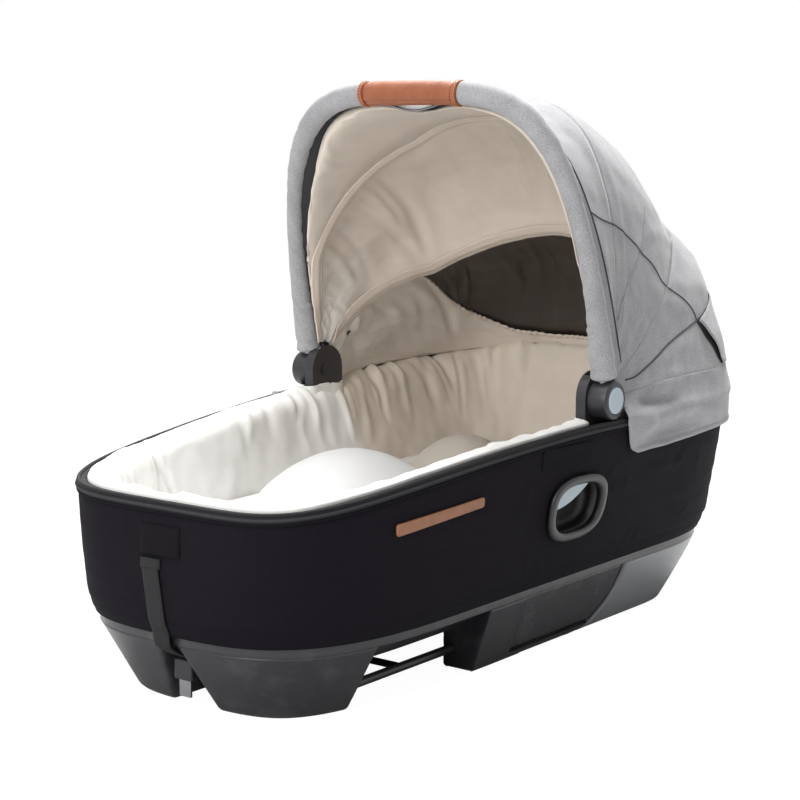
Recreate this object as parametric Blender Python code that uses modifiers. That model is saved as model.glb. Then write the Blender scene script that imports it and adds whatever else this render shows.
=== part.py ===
# Carrycot with a folding canopy, a moulded base and a padded lining.
# Metres, +Z up. +X points to the head end, +Y to the far side.
# The origin is the middle of the footprint, on the surface that the cot stands on.
import functools
import math

import bmesh
import bpy
import numpy as np
from mathutils import Matrix, Vector

for old in list(bpy.data.objects):
    bpy.data.objects.remove(old, do_unlink=True)

# Driving dimensions
overall_length = 0.880
hinge_from_foot = 0.488
hinge_z = 0.288
base_z = 0.0884
rim_foot_z = 0.2215
rim_hinge_z = 0.2640
rim_head_z = 0.2680
rim_foot_half = 0.1800
rim_head_half = 0.2325
base_half = 0.1890
bow_inset = 0.0150
bow_half = rim_head_half - bow_inset
bow_lean_deg = -12.2
clearance = 0.0003

# Canopy angles from upright, positive towards the head
mid_rib_deg = 10.0
rear_rib_deg = 54.0

foot_x = -overall_length / 2
head_x = overall_length / 2
hinge_x = foot_x + hinge_from_foot
axis_point = Vector((hinge_x, 0, hinge_z))
sides = (("near", -1), ("far", 1))

parts = bpy.data.collections.new("carrycot")
cutters = bpy.data.collections.new("cutters")
bpy.context.scene.collection.children.link(parts)
bpy.context.scene.collection.children.link(cutters)


def finish(name, colour, roughness, metallic=0.0):
    """One plain material, its colour as it looks on screen."""
    made = bpy.data.materials.new(name)
    made.use_nodes = True
    shader = made.node_tree.nodes["Principled BSDF"]
    linear = [((c / 255 + 0.055) / 1.055) ** 2.4 if c > 10 else c / 255 / 12.92 for c in colour]
    shader.inputs["Base Color"].default_value = (*linear, 1)
    shader.inputs["Roughness"].default_value = roughness
    shader.inputs["Metallic"].default_value = metallic
    return made


base_plastic = finish("base_plastic", (74, 74, 78), 0.45)
panel_plastic = finish("panel_plastic", (44, 44, 48), 0.5)
hinge_plastic = finish("hinge_plastic", (50, 48, 52), 0.4)
button_plastic = finish("button_plastic", (175, 188, 196), 0.45)
dark_fabric = finish("dark_fabric", (30, 27, 33), 0.9)
zip_tape = finish("zip_tape", (42, 42, 44), 0.7)
webbing = finish("webbing", (38, 39, 38), 0.8)
canopy_fabric = finish("canopy_fabric", (176, 177, 180), 0.9)
lining_fabric = finish("lining_fabric", (244, 243, 236), 0.85)
pad_fabric = finish("pad_fabric", (240, 240, 238), 0.9)
head_pad_fabric = finish("head_pad_fabric", (196, 188, 176), 0.9)
mesh_fabric = finish("mesh_fabric", (52, 46, 42), 0.8)
tan_leather = finish("tan_leather", (165, 95, 60), 0.5)
steel = finish("steel", (150, 150, 152), 0.35, 1.0)
foam = finish("foam", (225, 225, 222), 0.9)


def keep(name, mesh, material, sharp_deg=35, collection=parts):
    """Puts a mesh in the scene as a named sub-part, smooth but for its sharp edges."""
    mesh.shade_smooth()
    mesh.set_sharp_from_angle(angle=math.radians(sharp_deg))
    thing = bpy.data.objects.new(name, mesh)
    collection.objects.link(thing)
    if material:
        mesh.materials.append(material)
    if collection is cutters:
        thing.hide_render = True
        thing.display_type = "WIRE"
    return thing


def loft(name, rings, material, loop=False, collection=parts, sharp_deg=35, split=False):
    """Skins closed rings of equal counts one to the next. The ends are capped, or joined when loop is set.
    With split, each four-sided face is cut from its lower near corner, so that nested walls are cut alike."""
    work = bmesh.new()
    rows = [[work.verts.new(point) for point in ring] for ring in rings]
    count = len(rows[0])
    pairs = list(zip(rows, rows[1:]))
    if loop:
        pairs.append((rows[-1], rows[0]))
    for low, high in pairs:
        for i in range(count):
            j = (i + 1) % count
            if not split:
                work.faces.new((low[i], low[j], high[j], high[i]))
            elif low[i].co.z <= low[j].co.z:
                work.faces.new((low[i], low[j], high[j]))
                work.faces.new((low[i], high[j], high[i]))
            else:
                work.faces.new((low[j], high[j], high[i]))
                work.faces.new((low[j], high[i], low[i]))
    if not loop:
        work.faces.new(rows[0])
        work.faces.new(rows[-1])
    bmesh.ops.recalc_face_normals(work, faces=work.faces)
    mesh = bpy.data.meshes.new(name)
    work.to_mesh(mesh)
    work.free()
    return keep(name, mesh, material, sharp_deg, collection)


def cut(target, cutter, operation="DIFFERENCE"):
    boolean = target.modifiers.new(cutter.name, "BOOLEAN")
    boolean.operation = operation
    boolean.object = cutter


def turned(name, profile, material, side, collection=parts, steps=20):
    """Turns a profile of (radius, distance from the middle plane) about the hinge axis, outer end first."""
    work = bmesh.new()
    points = [work.verts.new((radius, 0, reach)) for radius, reach in profile]
    for a, b in zip(points, points[1:]):
        work.edges.new((a, b))
    if profile[0][0] > 0:
        work.edges.new((points[-1], points[0]))
    mesh = bpy.data.meshes.new(name)
    work.to_mesh(mesh)
    work.free()
    thing = bpy.data.objects.new(name, mesh)
    collection.objects.link(thing)
    thing.rotation_euler = (-side * math.pi / 2, 0, 0)
    thing.location = axis_point
    screw = thing.modifiers.new("turn", "SCREW")
    screw.steps = steps
    screw.render_steps = steps
    screw.use_merge_vertices = True
    screw.merge_threshold = 0.00001
    if material:
        mesh.materials.append(material)
    if collection is cutters:
        thing.hide_render = True
        thing.display_type = "WIRE"
    return thing


def tube(name, points, radius, material, resolution=2):
    """A round bar or wire along points, with closed ends."""
    curve = bpy.data.curves.new(name, "CURVE")
    curve.dimensions = "3D"
    curve.bevel_depth = radius
    curve.bevel_resolution = resolution
    curve.use_fill_caps = True
    line = curve.splines.new("POLY")
    line.points.add(len(points) - 1)
    for spot, point in zip(line.points, points):
        spot.co = (*point, 1)
    thing = bpy.data.objects.new(name, curve)
    parts.objects.link(thing)
    curve.materials.append(material)
    return thing


def block(name, low, high, material, collection=parts, bevel=0.0):
    """A box between two corners, with an optional rounding of its edges."""
    work = bmesh.new()
    bmesh.ops.create_cube(work, size=1)
    size = Vector(high) - Vector(low)
    middle = (Vector(high) + Vector(low)) / 2
    moved = Matrix.Translation(middle) @ Matrix.Diagonal((*size, 1))
    bmesh.ops.transform(work, matrix=moved, verts=work.verts)
    mesh = bpy.data.meshes.new(name)
    work.to_mesh(mesh)
    work.free()
    thing = keep(name, mesh, material, collection=collection)
    if bevel:
        rounding = thing.modifiers.new("edges", "BEVEL")
        rounding.width = bevel
        rounding.segments = 2
    return thing


# Plan outlines
corner_steps = 8
rim_foot_power_share = 5.0
rim_head_power_share = 2.8
base_foot_power_share = 3.2
base_head_power_share = 2.8
foot_run = 0.270
head_run = 0.220
taper_after_hinge = 0.027
cover_bulge = 0.0045
skirt_proud = 0.0060
lug_half = 0.0287
lug_shift = 0.0045
hinge_zone = 0.075
middle_zone = 0.180
side_stations = [
    hinge_x - middle_zone,
    hinge_x - hinge_zone,
    hinge_x - lug_half - clearance,
    hinge_x + lug_half + clearance,
    hinge_x + hinge_zone,
]


def outline(start_x, end_x, start_half, end_half, start_power, end_power):
    """Half a plan outline from the foot end's middle to the head end's middle, as x and y arrays.
    The half width grows in a straight line to just past the hinge, then stays; each end is a superellipse."""
    turn = np.linspace(0, math.pi / 2, corner_steps + 1)
    start = start_x + foot_run * (1 - np.cos(turn) ** (2 / start_power))
    start_share = np.sin(turn) ** (2 / start_power)
    end = end_x - head_run * (1 - np.cos(turn[::-1]) ** (2 / end_power))
    end_share = np.sin(turn[::-1]) ** (2 / end_power)
    middle = [x for x in side_stations if start[-1] < x < end[0]]
    x = np.concatenate([start, middle, end])
    share = np.concatenate([start_share, np.ones(len(middle)), end_share])
    grow = np.clip((x - start_x) / (hinge_x + taper_after_hinge - start_x), 0, 1)
    return x, share * (start_half + (end_half - start_half) * grow)


def closed_line(x, y):
    """The outline's both halves as one loop, with the outward direction at each point."""
    loop = np.concatenate([np.stack([x, y], 1), np.stack([x, -y], 1)[-2:0:-1]])
    along = np.roll(loop, -1, 0) - np.roll(loop, 1, 0)
    out = np.stack([-along[:, 1], along[:, 0]], 1)
    return loop, out / np.linalg.norm(out, axis=1, keepdims=True)


rim_line, rim_out = closed_line(
    *outline(foot_x + cover_bulge, head_x - skirt_proud, rim_foot_half, rim_head_half,
             rim_foot_power_share, rim_head_power_share)
)
base_foot_gap = 0.0020
base_head_gap = 0.0100
base_line, base_out = closed_line(
    *outline(foot_x + base_foot_gap, head_x - base_head_gap, base_half, base_half,
             base_foot_power_share, base_head_power_share)
)
side_out = rim_out + base_out
side_out /= np.linalg.norm(side_out, axis=1, keepdims=True)
station_count = len(rim_line)
half_count = station_count // 2
rim_sweep_share = 1.46


def rim_height(x):
    """The rim rises in a slowing curve from the foot to the hinge, then gently on to the head."""
    share = np.clip((x - foot_x) / hinge_from_foot, 0, 1)
    rise = rim_foot_z + (rim_hinge_z - rim_foot_z) * (1 - (1 - share) ** rim_sweep_share)
    after = np.clip((x - hinge_x) / (head_x - hinge_x), 0, 1)
    return rise + (rim_head_z - rim_hinge_z) * after


rim_z = rim_height(rim_line[:, 0])
bulge_foot_share = 0.1
wall_levels_shares = (0.1, 0.5)
band_height = 0.0100


def skin(u, z, out):
    """The point of the fabric side at station u and height z, moved out by a distance."""
    low = int(math.floor(u)) % station_count
    high = (low + 1) % station_count
    part = u - math.floor(u)
    places = []
    for i in (low, high):
        share = (z - base_z) / (rim_z[i] - base_z)
        kept = min(max(share, 0), 1)
        swell = (1 - kept) * min(1, kept / bulge_foot_share) + kept * (1 - kept) * 2
        spot = base_line[i] + (rim_line[i] - base_line[i]) * share + side_out[i] * (cover_bulge * swell + out)
        places.append(spot)
    spot = places[0] * (1 - part) + places[1] * part
    return Vector((spot[0], spot[1], z))


def station_at(x, side, z=rim_hinge_z):
    """The station number where the side on the given hand passes x."""
    low, high = 0.0, float(half_count)
    for _ in range(40):
        middle = (low + high) / 2
        if skin(middle, z, 0)[0] < x:
            low = middle
        else:
            high = middle
    return low if side > 0 else station_count - low


def shared_rows(i):
    """The heights of the rows that all nested walls have at a station."""
    rim = rim_z[i]
    return [base_z + (rim - base_z) * share for share in wall_levels_shares] + [rim - band_height - clearance]


def side_wall(name, outer, inner, low_z, material):
    """A wall that follows the fabric side between two offsets, all the way round."""
    rings = []
    for i in range(station_count):
        heights = [low_z] + shared_rows(i)
        ring = [skin(i, z, outer) for z in heights] + [skin(i, z, inner) for z in reversed(heights)]
        rings.append(ring)
    return loft(name, rings, material, loop=True, split=True)


# The moulded tray under the fabric, with its lip
tray_lip = 0.005
tray_wall = 0.003
tray_floor_z = 0.046
tray_lip_low_z = 0.0745
tray_shelf_inset = 0.014
tray_shelf_drop = 0.001
tray_slope_inset = 0.035
tray_slope_z = 0.0600
tray_floor_inset = 0.055
tray_steps = (
    (tray_lip, tray_lip_low_z),
    (tray_shelf_inset, tray_lip_low_z - tray_shelf_drop),
    (tray_slope_inset, tray_slope_z),
    (tray_floor_inset, tray_floor_z),
)


def base_ring(inset, z):
    spots = base_line - base_out * inset
    return [Vector((x, y, z)) for x, y in spots]


def make_tray():
    top_z = base_z - clearance
    rings = [base_ring(inset, z) for inset, z in reversed(tray_steps)]
    rings.append(base_ring(tray_lip, top_z))
    rings.append(base_ring(tray_lip + tray_wall, top_z))
    rings += [base_ring(inset + tray_wall, z + tray_wall) for inset, z in tray_steps[1:]]
    return loft("base_tray", rings, base_plastic)


make_tray()


cutter_rise = 0.032
cutter_top_z = base_z + cutter_rise
hollow_rings = [base_ring(inset, z - clearance) for inset, z in reversed(tray_steps)]
hollow_rings += [base_ring(-tray_lip, tray_lip_low_z - clearance), base_ring(-tray_lip, cutter_top_z)]
under_tray = loft("under_tray", hollow_rings, None, collection=cutters)


mitre_limit_share = 0.4


def inset_ring(points, distance):
    """A plan ring moved inwards by a distance, corners mitred."""
    spots = np.array([(p[0], p[1]) for p in points])
    area = np.sum(spots[:, 0] * np.roll(spots[:, 1], -1) - np.roll(spots[:, 0], -1) * spots[:, 1])
    turn = 1 if area > 0 else -1
    back = spots - np.roll(spots, 1, 0)
    ahead = np.roll(spots, -1, 0) - spots
    back /= np.linalg.norm(back, axis=1, keepdims=True)
    ahead /= np.linalg.norm(ahead, axis=1, keepdims=True)
    inward = turn * np.stack([-(back + ahead)[:, 1], (back + ahead)[:, 0]], 1)
    inward /= np.linalg.norm(inward, axis=1, keepdims=True)
    square = turn * np.stack([-ahead[:, 1], ahead[:, 0]], 1)
    reach = distance / np.maximum((inward * square).sum(1), mitre_limit_share)
    return spots + inward * reach[:, None]


def spread(points, count):
    """Points spaced evenly along a plan polyline."""
    points = np.array(points)
    steps = np.concatenate([[0], np.cumsum(np.linalg.norm(np.diff(points, axis=0), axis=1))])
    wanted = np.linspace(0, steps[-1], count)
    return np.stack([np.interp(wanted, steps, points[:, k]) for k in (0, 1)], 1)


def cup(name, ring_at, levels, wall, floor, material):
    """A hollow foot, closed below and open above, trimmed by the tray's underside.
    ring_at gives the plan ring at a height."""
    def placed(ring, z):
        return [Vector((x, y, z)) for x, y in ring]

    edge = floor / 2
    rings = [placed(inset_ring(ring_at(levels[0]), edge), levels[0])]
    rings += [placed(ring_at(z), z) for z in [levels[0] + edge] + list(levels[1:])]
    rings += [placed(inset_ring(ring_at(z), wall), z) for z in reversed(levels[1:]) if z > floor]
    rings.append(placed(inset_ring(ring_at(levels[0] + floor), wall), levels[0] + floor))
    made = loft(name, rings, material)
    cut(made, under_tray)
    return made


foot_top_z = tray_lip_low_z - 2 * clearance
# The two foot pods
pod_rear_from_hinge = 0.355
pod_rear_x = hinge_x - pod_rear_from_hinge
pod_draft = 0.041
notch_half_low = 0.031
notch_half_high = 0.0125
foot_wall = 0.0028
foot_floor = 0.004
foot_level_shares = (0, 0.38, 0.745, 1)
foot_levels = [foot_top_z * share for share in foot_level_shares]
pod_outer_points = 12
pod_rear_shares = (0.35, 0.7, 1.0)
pod_notch_shares = (0.33, 0.66)
dense_count = 160
dense_half = spread(base_line[: half_count + 1], dense_count)
dense_along = np.gradient(dense_half, axis=0)
dense_out = np.stack([-dense_along[:, 1], dense_along[:, 0]], 1)
dense_out /= np.linalg.norm(dense_out, axis=1, keepdims=True)


def foot_inset(z, draft):
    """How far the moulded feet stand in from the base outline at a height."""
    return tray_lip + draft * (1 - z / tray_lip_low_z)


def pod_ring(z, side):
    notch = notch_half_low + (notch_half_high - notch_half_low) * z / tray_lip_low_z
    edge = dense_half - dense_out * foot_inset(z, pod_draft)
    edge = edge[(edge[:, 1] > notch) & (edge[:, 0] < pod_rear_x)]
    front = (edge[0, 0], notch)
    rear = (pod_rear_x, edge[-1, 1])
    outer = spread([front, *edge, rear], pod_outer_points)
    across = [(pod_rear_x, rear[1] + (notch - rear[1]) * share) for share in pod_rear_shares]
    back = [(pod_rear_x + (front[0] - pod_rear_x) * share, notch) for share in pod_notch_shares]
    return [(x, y * side) for x, y in [*outer, *across, *back]]


for hand, side in sides:
    ring_at = functools.partial(pod_ring, side=side)
    cup("foot_pod_" + hand, ring_at, foot_levels, foot_wall, foot_floor, base_plastic)

# The long skids beside the underside channel, with a recess for the dark side panel
skid_front_from_hinge = 0.171
skid_front_x = hinge_x - skid_front_from_hinge
skid_inner = 0.118
skid_draft = 0.026
arc_after_hinge = 0.024
arc_x = hinge_x + arc_after_hinge
arc_length = 0.085
arc_height = 0.070
recess_from_hinge = 0.103
recess_start_x = hinge_x - recess_from_hinge
recess_depth = 0.006
recess_low_z = 0.008
recess_step = 0.0008
recess_steps = 5
recess_level_shares = (0.20, 0.43, 0.69)
recess_height = foot_top_z - recess_low_z - recess_step
recess_levels = [recess_low_z + recess_step + recess_height * share for share in recess_level_shares]
skid_back_shares = (0, 0.33, 0.66, 1)
skid_levels = (0.0, recess_low_z, recess_low_z + recess_step, *recess_levels, foot_top_z)


def arc_at(z):
    """The curved joint between skid and head block: a quarter ellipse standing on its flat end."""
    share = min(max((arc_height - z) / arc_height, 0), 1)
    return arc_x + arc_length * math.sqrt(1 - share * share)


def base_half_at(x):
    return float(np.interp(x, dense_half[:, 0], dense_half[:, 1]))


def recess_spots(z):
    """Where along the cot the points of the recess stand at a height."""
    start_x = recess_start_x + recess_step
    end_x = arc_at(z) - clearance / 2
    return [start_x + (end_x - start_x) * k / recess_steps for k in range(recess_steps + 1)]


def recess_half(x, z):
    """The half width at the floor of the recess, straight between its points."""
    spots = recess_spots(z)
    inset = foot_inset(z, skid_draft) + recess_depth
    return float(np.interp(x, spots, [base_half_at(spot) - inset for spot in spots]))


def skid_ring(z, side):
    inset = foot_inset(z, skid_draft)
    sunk = recess_depth if z > recess_low_z else 0
    plain = (skid_front_x, (skid_front_x + recess_start_x) / 2, recess_start_x)
    edge = [(x, base_half_at(x) - inset) for x in plain]
    edge += [(x, base_half_at(x) - inset - sunk) for x in recess_spots(z)]
    end_x = edge[-1][0]
    back = [(end_x + (skid_front_x - end_x) * share, skid_inner) for share in skid_back_shares]
    return [(x, y * side) for x, y in [*edge, *back]]


for hand, side in sides:
    ring_at = functools.partial(skid_ring, side=side)
    cup("skid_" + hand, ring_at, skid_levels, foot_wall, foot_floor, base_plastic)

# The rounded block under the head end
nose_reach = 0.120
nose_power_share = 1.8
head_half_points = 13
head_front_shares = (-0.8, -0.4, 0, 0.4, 0.8)


def head_ring(z):
    start_x = arc_at(z) + clearance / 2
    pull = nose_reach * max(1 - z / tray_lip_low_z, 0) ** nose_power_share
    edge = dense_half - dense_out * foot_inset(z, skid_draft) - np.abs(dense_out) * np.array((pull, 0))
    edge = edge[(edge[:, 0] > start_x) & (edge[:, 1] > 0)]
    first = (start_x, edge[0, 1])
    tip = (edge[-1, 0], 0)
    upper = spread([first, *edge, tip], head_half_points)
    lower = [(x, -y) for x, y in upper[-2::-1]]
    front = [(start_x, first[1] * share) for share in head_front_shares]
    return [*upper, *lower, *front]


cup("head_block", head_ring, skid_levels, foot_wall, foot_floor, base_plastic)

# The dark panel in each skid's recess
panel_thickness = 0.0025
panel_margin = 0.0012


def make_panel(hand, side):
    rings = []
    high_z = tray_lip_low_z - clearance - panel_margin
    low_z = recess_low_z + recess_step + panel_margin
    for z in (low_z, *recess_levels, high_z):
        spots = recess_spots(z)
        spots = [spots[0] + panel_margin, *spots[1:-1], spots[-1] + clearance / 2 - panel_margin]
        floor = [recess_half(x, z) + clearance for x in spots]
        back = [Vector((x, y * side, z)) for x, y in zip(spots, floor)]
        face = [Vector((x, (y + panel_thickness) * side, z)) for x, y in zip(spots, floor)]
        rings.append(back + face[::-1])
    loft("side_panel_" + hand, rings, panel_plastic)


for hand, side in sides:
    make_panel(hand, side)

# Docking rails in the side gap, and the bar that joins them
rail_y = 0.130
rail_z = 0.023
rail_radius = 0.005
cross_radius = 0.004
cross_from_hinge = 0.262
cross_x = hinge_x - cross_from_hinge
for hand, side in sides:
    ends = (pod_rear_x + clearance, skid_front_x - clearance)
    tube("dock_rail_" + hand, [(x, rail_y * side, rail_z) for x in ends], rail_radius, hinge_plastic, 3)
cross_end = rail_y - rail_radius - clearance
tube("dock_crossbar", [(cross_x, y, rail_z) for y in (-cross_end, cross_end)], cross_radius, hinge_plastic, 3)

# Fabric cover, the rigid tub inside it and the rim band over both
cover_thickness = 0.0025
tub_wall_thickness = 0.0030
band_proud = 0.0010
band_lid = 0.0012
band_reach = 0.0095
cover_low = 0.0030
tub_outer = -cover_thickness - clearance
tub_inner = tub_outer - tub_wall_thickness
side_cover = side_wall("side_cover", 0, -cover_thickness, base_z - cover_low, dark_fabric)


def make_tub():
    """Outer rows up, inner rows down to a floor that rests on the tray's lip."""
    below_rim = band_lid + clearance
    floor_z = base_z + tub_wall_thickness
    outer = [[skin(i, base_z, -tray_lip) for i in range(station_count)]]
    inner = [[skin(i, floor_z, -tray_lip - tub_wall_thickness) for i in range(station_count)]]
    for level in range(len(wall_levels_shares) + 1):
        outer.append([skin(i, shared_rows(i)[level], tub_outer) for i in range(station_count)])
        inner.append([skin(i, shared_rows(i)[level], tub_inner) for i in range(station_count)])
    outer.append([skin(i, rim_z[i] - below_rim, tub_outer) for i in range(station_count)])
    inner.append([skin(i, rim_z[i] - below_rim, tub_inner) for i in range(station_count)])
    # Columns, closed at the bottom by the two floor faces
    work = bmesh.new()
    rows = [[work.verts.new(point) for point in row] for row in outer + inner[::-1]]
    for low, high in zip(rows, rows[1:]):
        for i in range(station_count):
            j = (i + 1) % station_count
            rising = high[i].co.z >= low[i].co.z
            a, b, c, d = (low[i], low[j], high[j], high[i]) if rising else (high[i], high[j], low[j], low[i])
            work.faces.new((a, b, c))
            work.faces.new((a, c, d))
    work.faces.new(rows[0])
    work.faces.new(rows[-1])
    bmesh.ops.recalc_face_normals(work, faces=work.faces)
    mesh = bpy.data.meshes.new("inner_tub")
    work.to_mesh(mesh)
    work.free()
    return keep("inner_tub", mesh, hinge_plastic)


inner_tub = make_tub()
band_end_gap = 0.012
band_end_x = hinge_x - lug_half - band_end_gap


def make_band():
    end = station_at(band_end_x, 1)
    turns = [float(i) for i in range(-int(end), int(end) + 1)]
    turns = [-end] + turns + [end]
    rings = []
    for u in turns:
        low_i, part_u = int(math.floor(u)), u - math.floor(u)
        height = rim_z[low_i % station_count] * (1 - part_u) + rim_z[(low_i + 1) % station_count] * part_u
        low, lid = height - band_height, height - band_lid
        ring = [(band_proud, low), (band_proud, height - band_proud), (0, height), (-band_reach, height)]
        ring += [(-band_reach, lid), (-cover_thickness, lid), (-cover_thickness, low)]
        rings.append([skin(u, z, out) for out, z in ring])
    return loft("rim_band", rings, zip_tape, split=True)


make_band()


# The padded lining, a slab of foam and the mattress
liner_outer = tub_inner - clearance
liner_rim_outer = -band_reach - clearance
liner_rim_inner = -0.040
liner_low_inner = -0.048
liner_low_z = base_z + tub_wall_thickness + clearance
crest_side = 0.003
crest_head = 0.0115
crest_end = 0.026
crest_start_after_hinge = 0.045
crest_full_after_hinge = 0.100
crest_start_x = hinge_x + crest_start_after_hinge
crest_full_x = hinge_x + crest_full_after_hinge
bed_z = 0.130
sleep_z = 0.165
liner_low_tuck = 0.0025
liner_floor_tuck = 0.0020
roll_lean = 0.0015
roll_top_inset = 0.0090
roll_inner_inset = 0.0080
roll_drop = 0.0100
roll_outer_share, roll_inner_share = 0.6, 0.8


def crest_raise(i):
    """How far the padded edge stands above the rim: low along the sides, higher round the head."""
    x, y = rim_line[i]
    raised = float(np.interp(x, (crest_start_x, crest_full_x), (crest_side, crest_head)))
    if x > crest_full_x:
        middle = 1 - min(abs(y) / rim_head_half, 1)
        raised += (crest_end - crest_head) * min(1, middle * 2)
    return raised


def liner_ring(i):
    rim = rim_z[i]
    crest = crest_raise(i)
    low_z, middle_z, shoulder_z = shared_rows(i)
    section = [
        (liner_outer - liner_low_tuck, liner_low_z),
        (liner_outer, low_z),
        (liner_outer, middle_z),
        (liner_outer, shoulder_z),
        (liner_rim_outer, rim - band_height / 2),
        (liner_rim_outer - roll_lean, rim + roll_outer_share * crest),
        (liner_rim_outer - roll_top_inset, rim + crest),
        (liner_rim_inner + roll_inner_inset, rim + roll_inner_share * crest),
        (liner_rim_inner, rim - roll_drop),
        (liner_low_inner, sleep_z),
        (liner_low_inner, bed_z),
        (liner_low_inner, low_z),
        (liner_low_inner - liner_floor_tuck, liner_low_z),
    ]
    return [skin(i, z, out) for out, z in section]


liner = loft("liner", [liner_ring(i) for i in range(station_count)], lining_fabric, loop=True, split=True)


def slab(name, levels, material):
    """A soft slab that fills the plan outline, from (inset, height) pairs going up."""
    rings = [[skin(i, z, -inset) for i in range(station_count)] for inset, z in levels]
    return loft(name, rings, material, split=True)


bed_ease = 0.0012
bed_inset = -liner_low_inner + bed_ease
foam_tuck = 0.005
foam_corner = 0.016
foam_levels = (
    (bed_inset + foam_tuck, liner_low_z),
    (bed_inset, liner_low_z + foam_corner),
    (bed_inset, bed_z),
)
slab("foam_base", foam_levels, foam)
mattress_ease = 0.001
mattress_tuck = 0.007
mattress_low_corner = 0.009
mattress_high_corner = 0.011
mattress_shoulder = 0.006
mattress_shoulder_drop = 0.003
mattress_edge = 0.019
mattress_inset = bed_inset + mattress_ease
mattress_levels = (
    (mattress_inset + mattress_tuck, bed_z + clearance),
    (mattress_inset, bed_z + mattress_low_corner),
    (mattress_inset, sleep_z - mattress_high_corner),
    (mattress_inset + mattress_shoulder, sleep_z - mattress_shoulder_drop),
    (mattress_inset + mattress_edge, sleep_z),
)
slab("mattress", mattress_levels, pad_fabric)

# The two soft pads that lie on the mattress
pad_points = 28
pad_ring_shares = (1.0, 0.97, 0.86, 0.70, 0.50, 0.28, 0.08)
pad_crown_share = 0.9
pad_power_share = 2.4
body_pad_from_hinge = 0.182
body_pad_reach = 0.125
body_pad_half = 0.100
body_pad_height = 0.0625
head_pad_after_hinge = 0.029
head_pad_reach = 0.072
head_pad_half = 0.073
head_pad_height = 0.0530


def dome(name, middle_x, reach, half, height, material):
    """A crowned pad: superellipse rings that close in as a rounded heap rises over them."""
    rings = []
    for scale in pad_ring_shares:
        z = sleep_z + clearance + height * (1 - scale * scale) ** pad_crown_share
        ring = []
        for j in range(pad_points):
            angle = 2 * math.pi * j / pad_points
            c, s = math.cos(angle), math.sin(angle)
            x = middle_x + reach * scale * math.copysign(abs(c) ** (2 / pad_power_share), c)
            y = half * scale * math.copysign(abs(s) ** (2 / pad_power_share), s)
            ring.append(Vector((x, y, z)))
        rings.append(ring)
    return loft(name, rings, material)


body_pad_x = hinge_x - body_pad_from_hinge
head_pad_x = hinge_x + head_pad_after_hinge
dome("body_pad", body_pad_x, body_pad_reach, body_pad_half, body_pad_height, pad_fabric)
dome("head_pad", head_pad_x, head_pad_reach, head_pad_half, head_pad_height, head_pad_fabric)


def plate(name, polygon, low_y, high_y, side, material, collection=parts):
    """A flat plate beside the cot: an outline in x and z, between two distances from the middle plane."""
    rings = [[Vector((x, y * side, z)) for x, z in polygon] for y in (low_y, high_y)]
    return loft(name, rings, material, collection=collection)


# Hinge lugs, with a slot for the ribs' eyes and feet that reach out to the tub
hub_inset = 0.0106
hub_width = 0.0251
hub_inner = bow_half - hub_inset
hub_outer = hub_inner + hub_width
hub_radius = 0.0220
hub_floor = 0.0040
button_radius = 0.0152
lug_thickness = 0.0126
lug_outer = hub_inner - clearance
lug_inner = lug_outer - lug_thickness
lug_rise = 0.0310
lug_foot_drop = 0.0100
lug_foot_height = 0.0220
lug_top_z = hinge_z + lug_rise
lug_foot_top_z = rim_hinge_z - lug_foot_drop
lug_low_z = lug_foot_top_z - lug_foot_height
lug_centre_x = hinge_x + lug_shift
lug_foot_margin = 0.0010
lug_foot_step = 0.0020
pin_radius = 0.0040
running_clearance = 0.0001
bore_radius = pin_radius + running_clearance
bore_overrun = 0.0040
pocket_overrun = 0.0120
lug_arc_steps = 12
lug_cheek = 0.0025
cheek_rise = 0.0100
cheek_drop = 0.0035
eye_radius = 0.0085
eye_room = 0.0010
eye_width = 0.0035


def lug_outline():
    points = [(lug_centre_x + lug_half, lug_low_z), (lug_centre_x - lug_half, lug_low_z)]
    for k in range(lug_arc_steps + 1):
        angle = math.pi * (1 - k / lug_arc_steps)
        x = lug_centre_x + lug_half * math.cos(angle)
        points.append((x, lug_top_z - lug_half + lug_half * math.sin(angle)))
    return points


def lug_seat():
    """How far out the lug's foot can reach before the tub's wall, over its own length."""
    reach = []
    for x in (lug_centre_x - lug_half, lug_centre_x + lug_half):
        u = station_at(x, 1)
        reach += [skin(u, z, tub_inner)[1] for z in (lug_low_z, lug_foot_top_z)]
    return min(reach) - 2 * clearance


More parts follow.
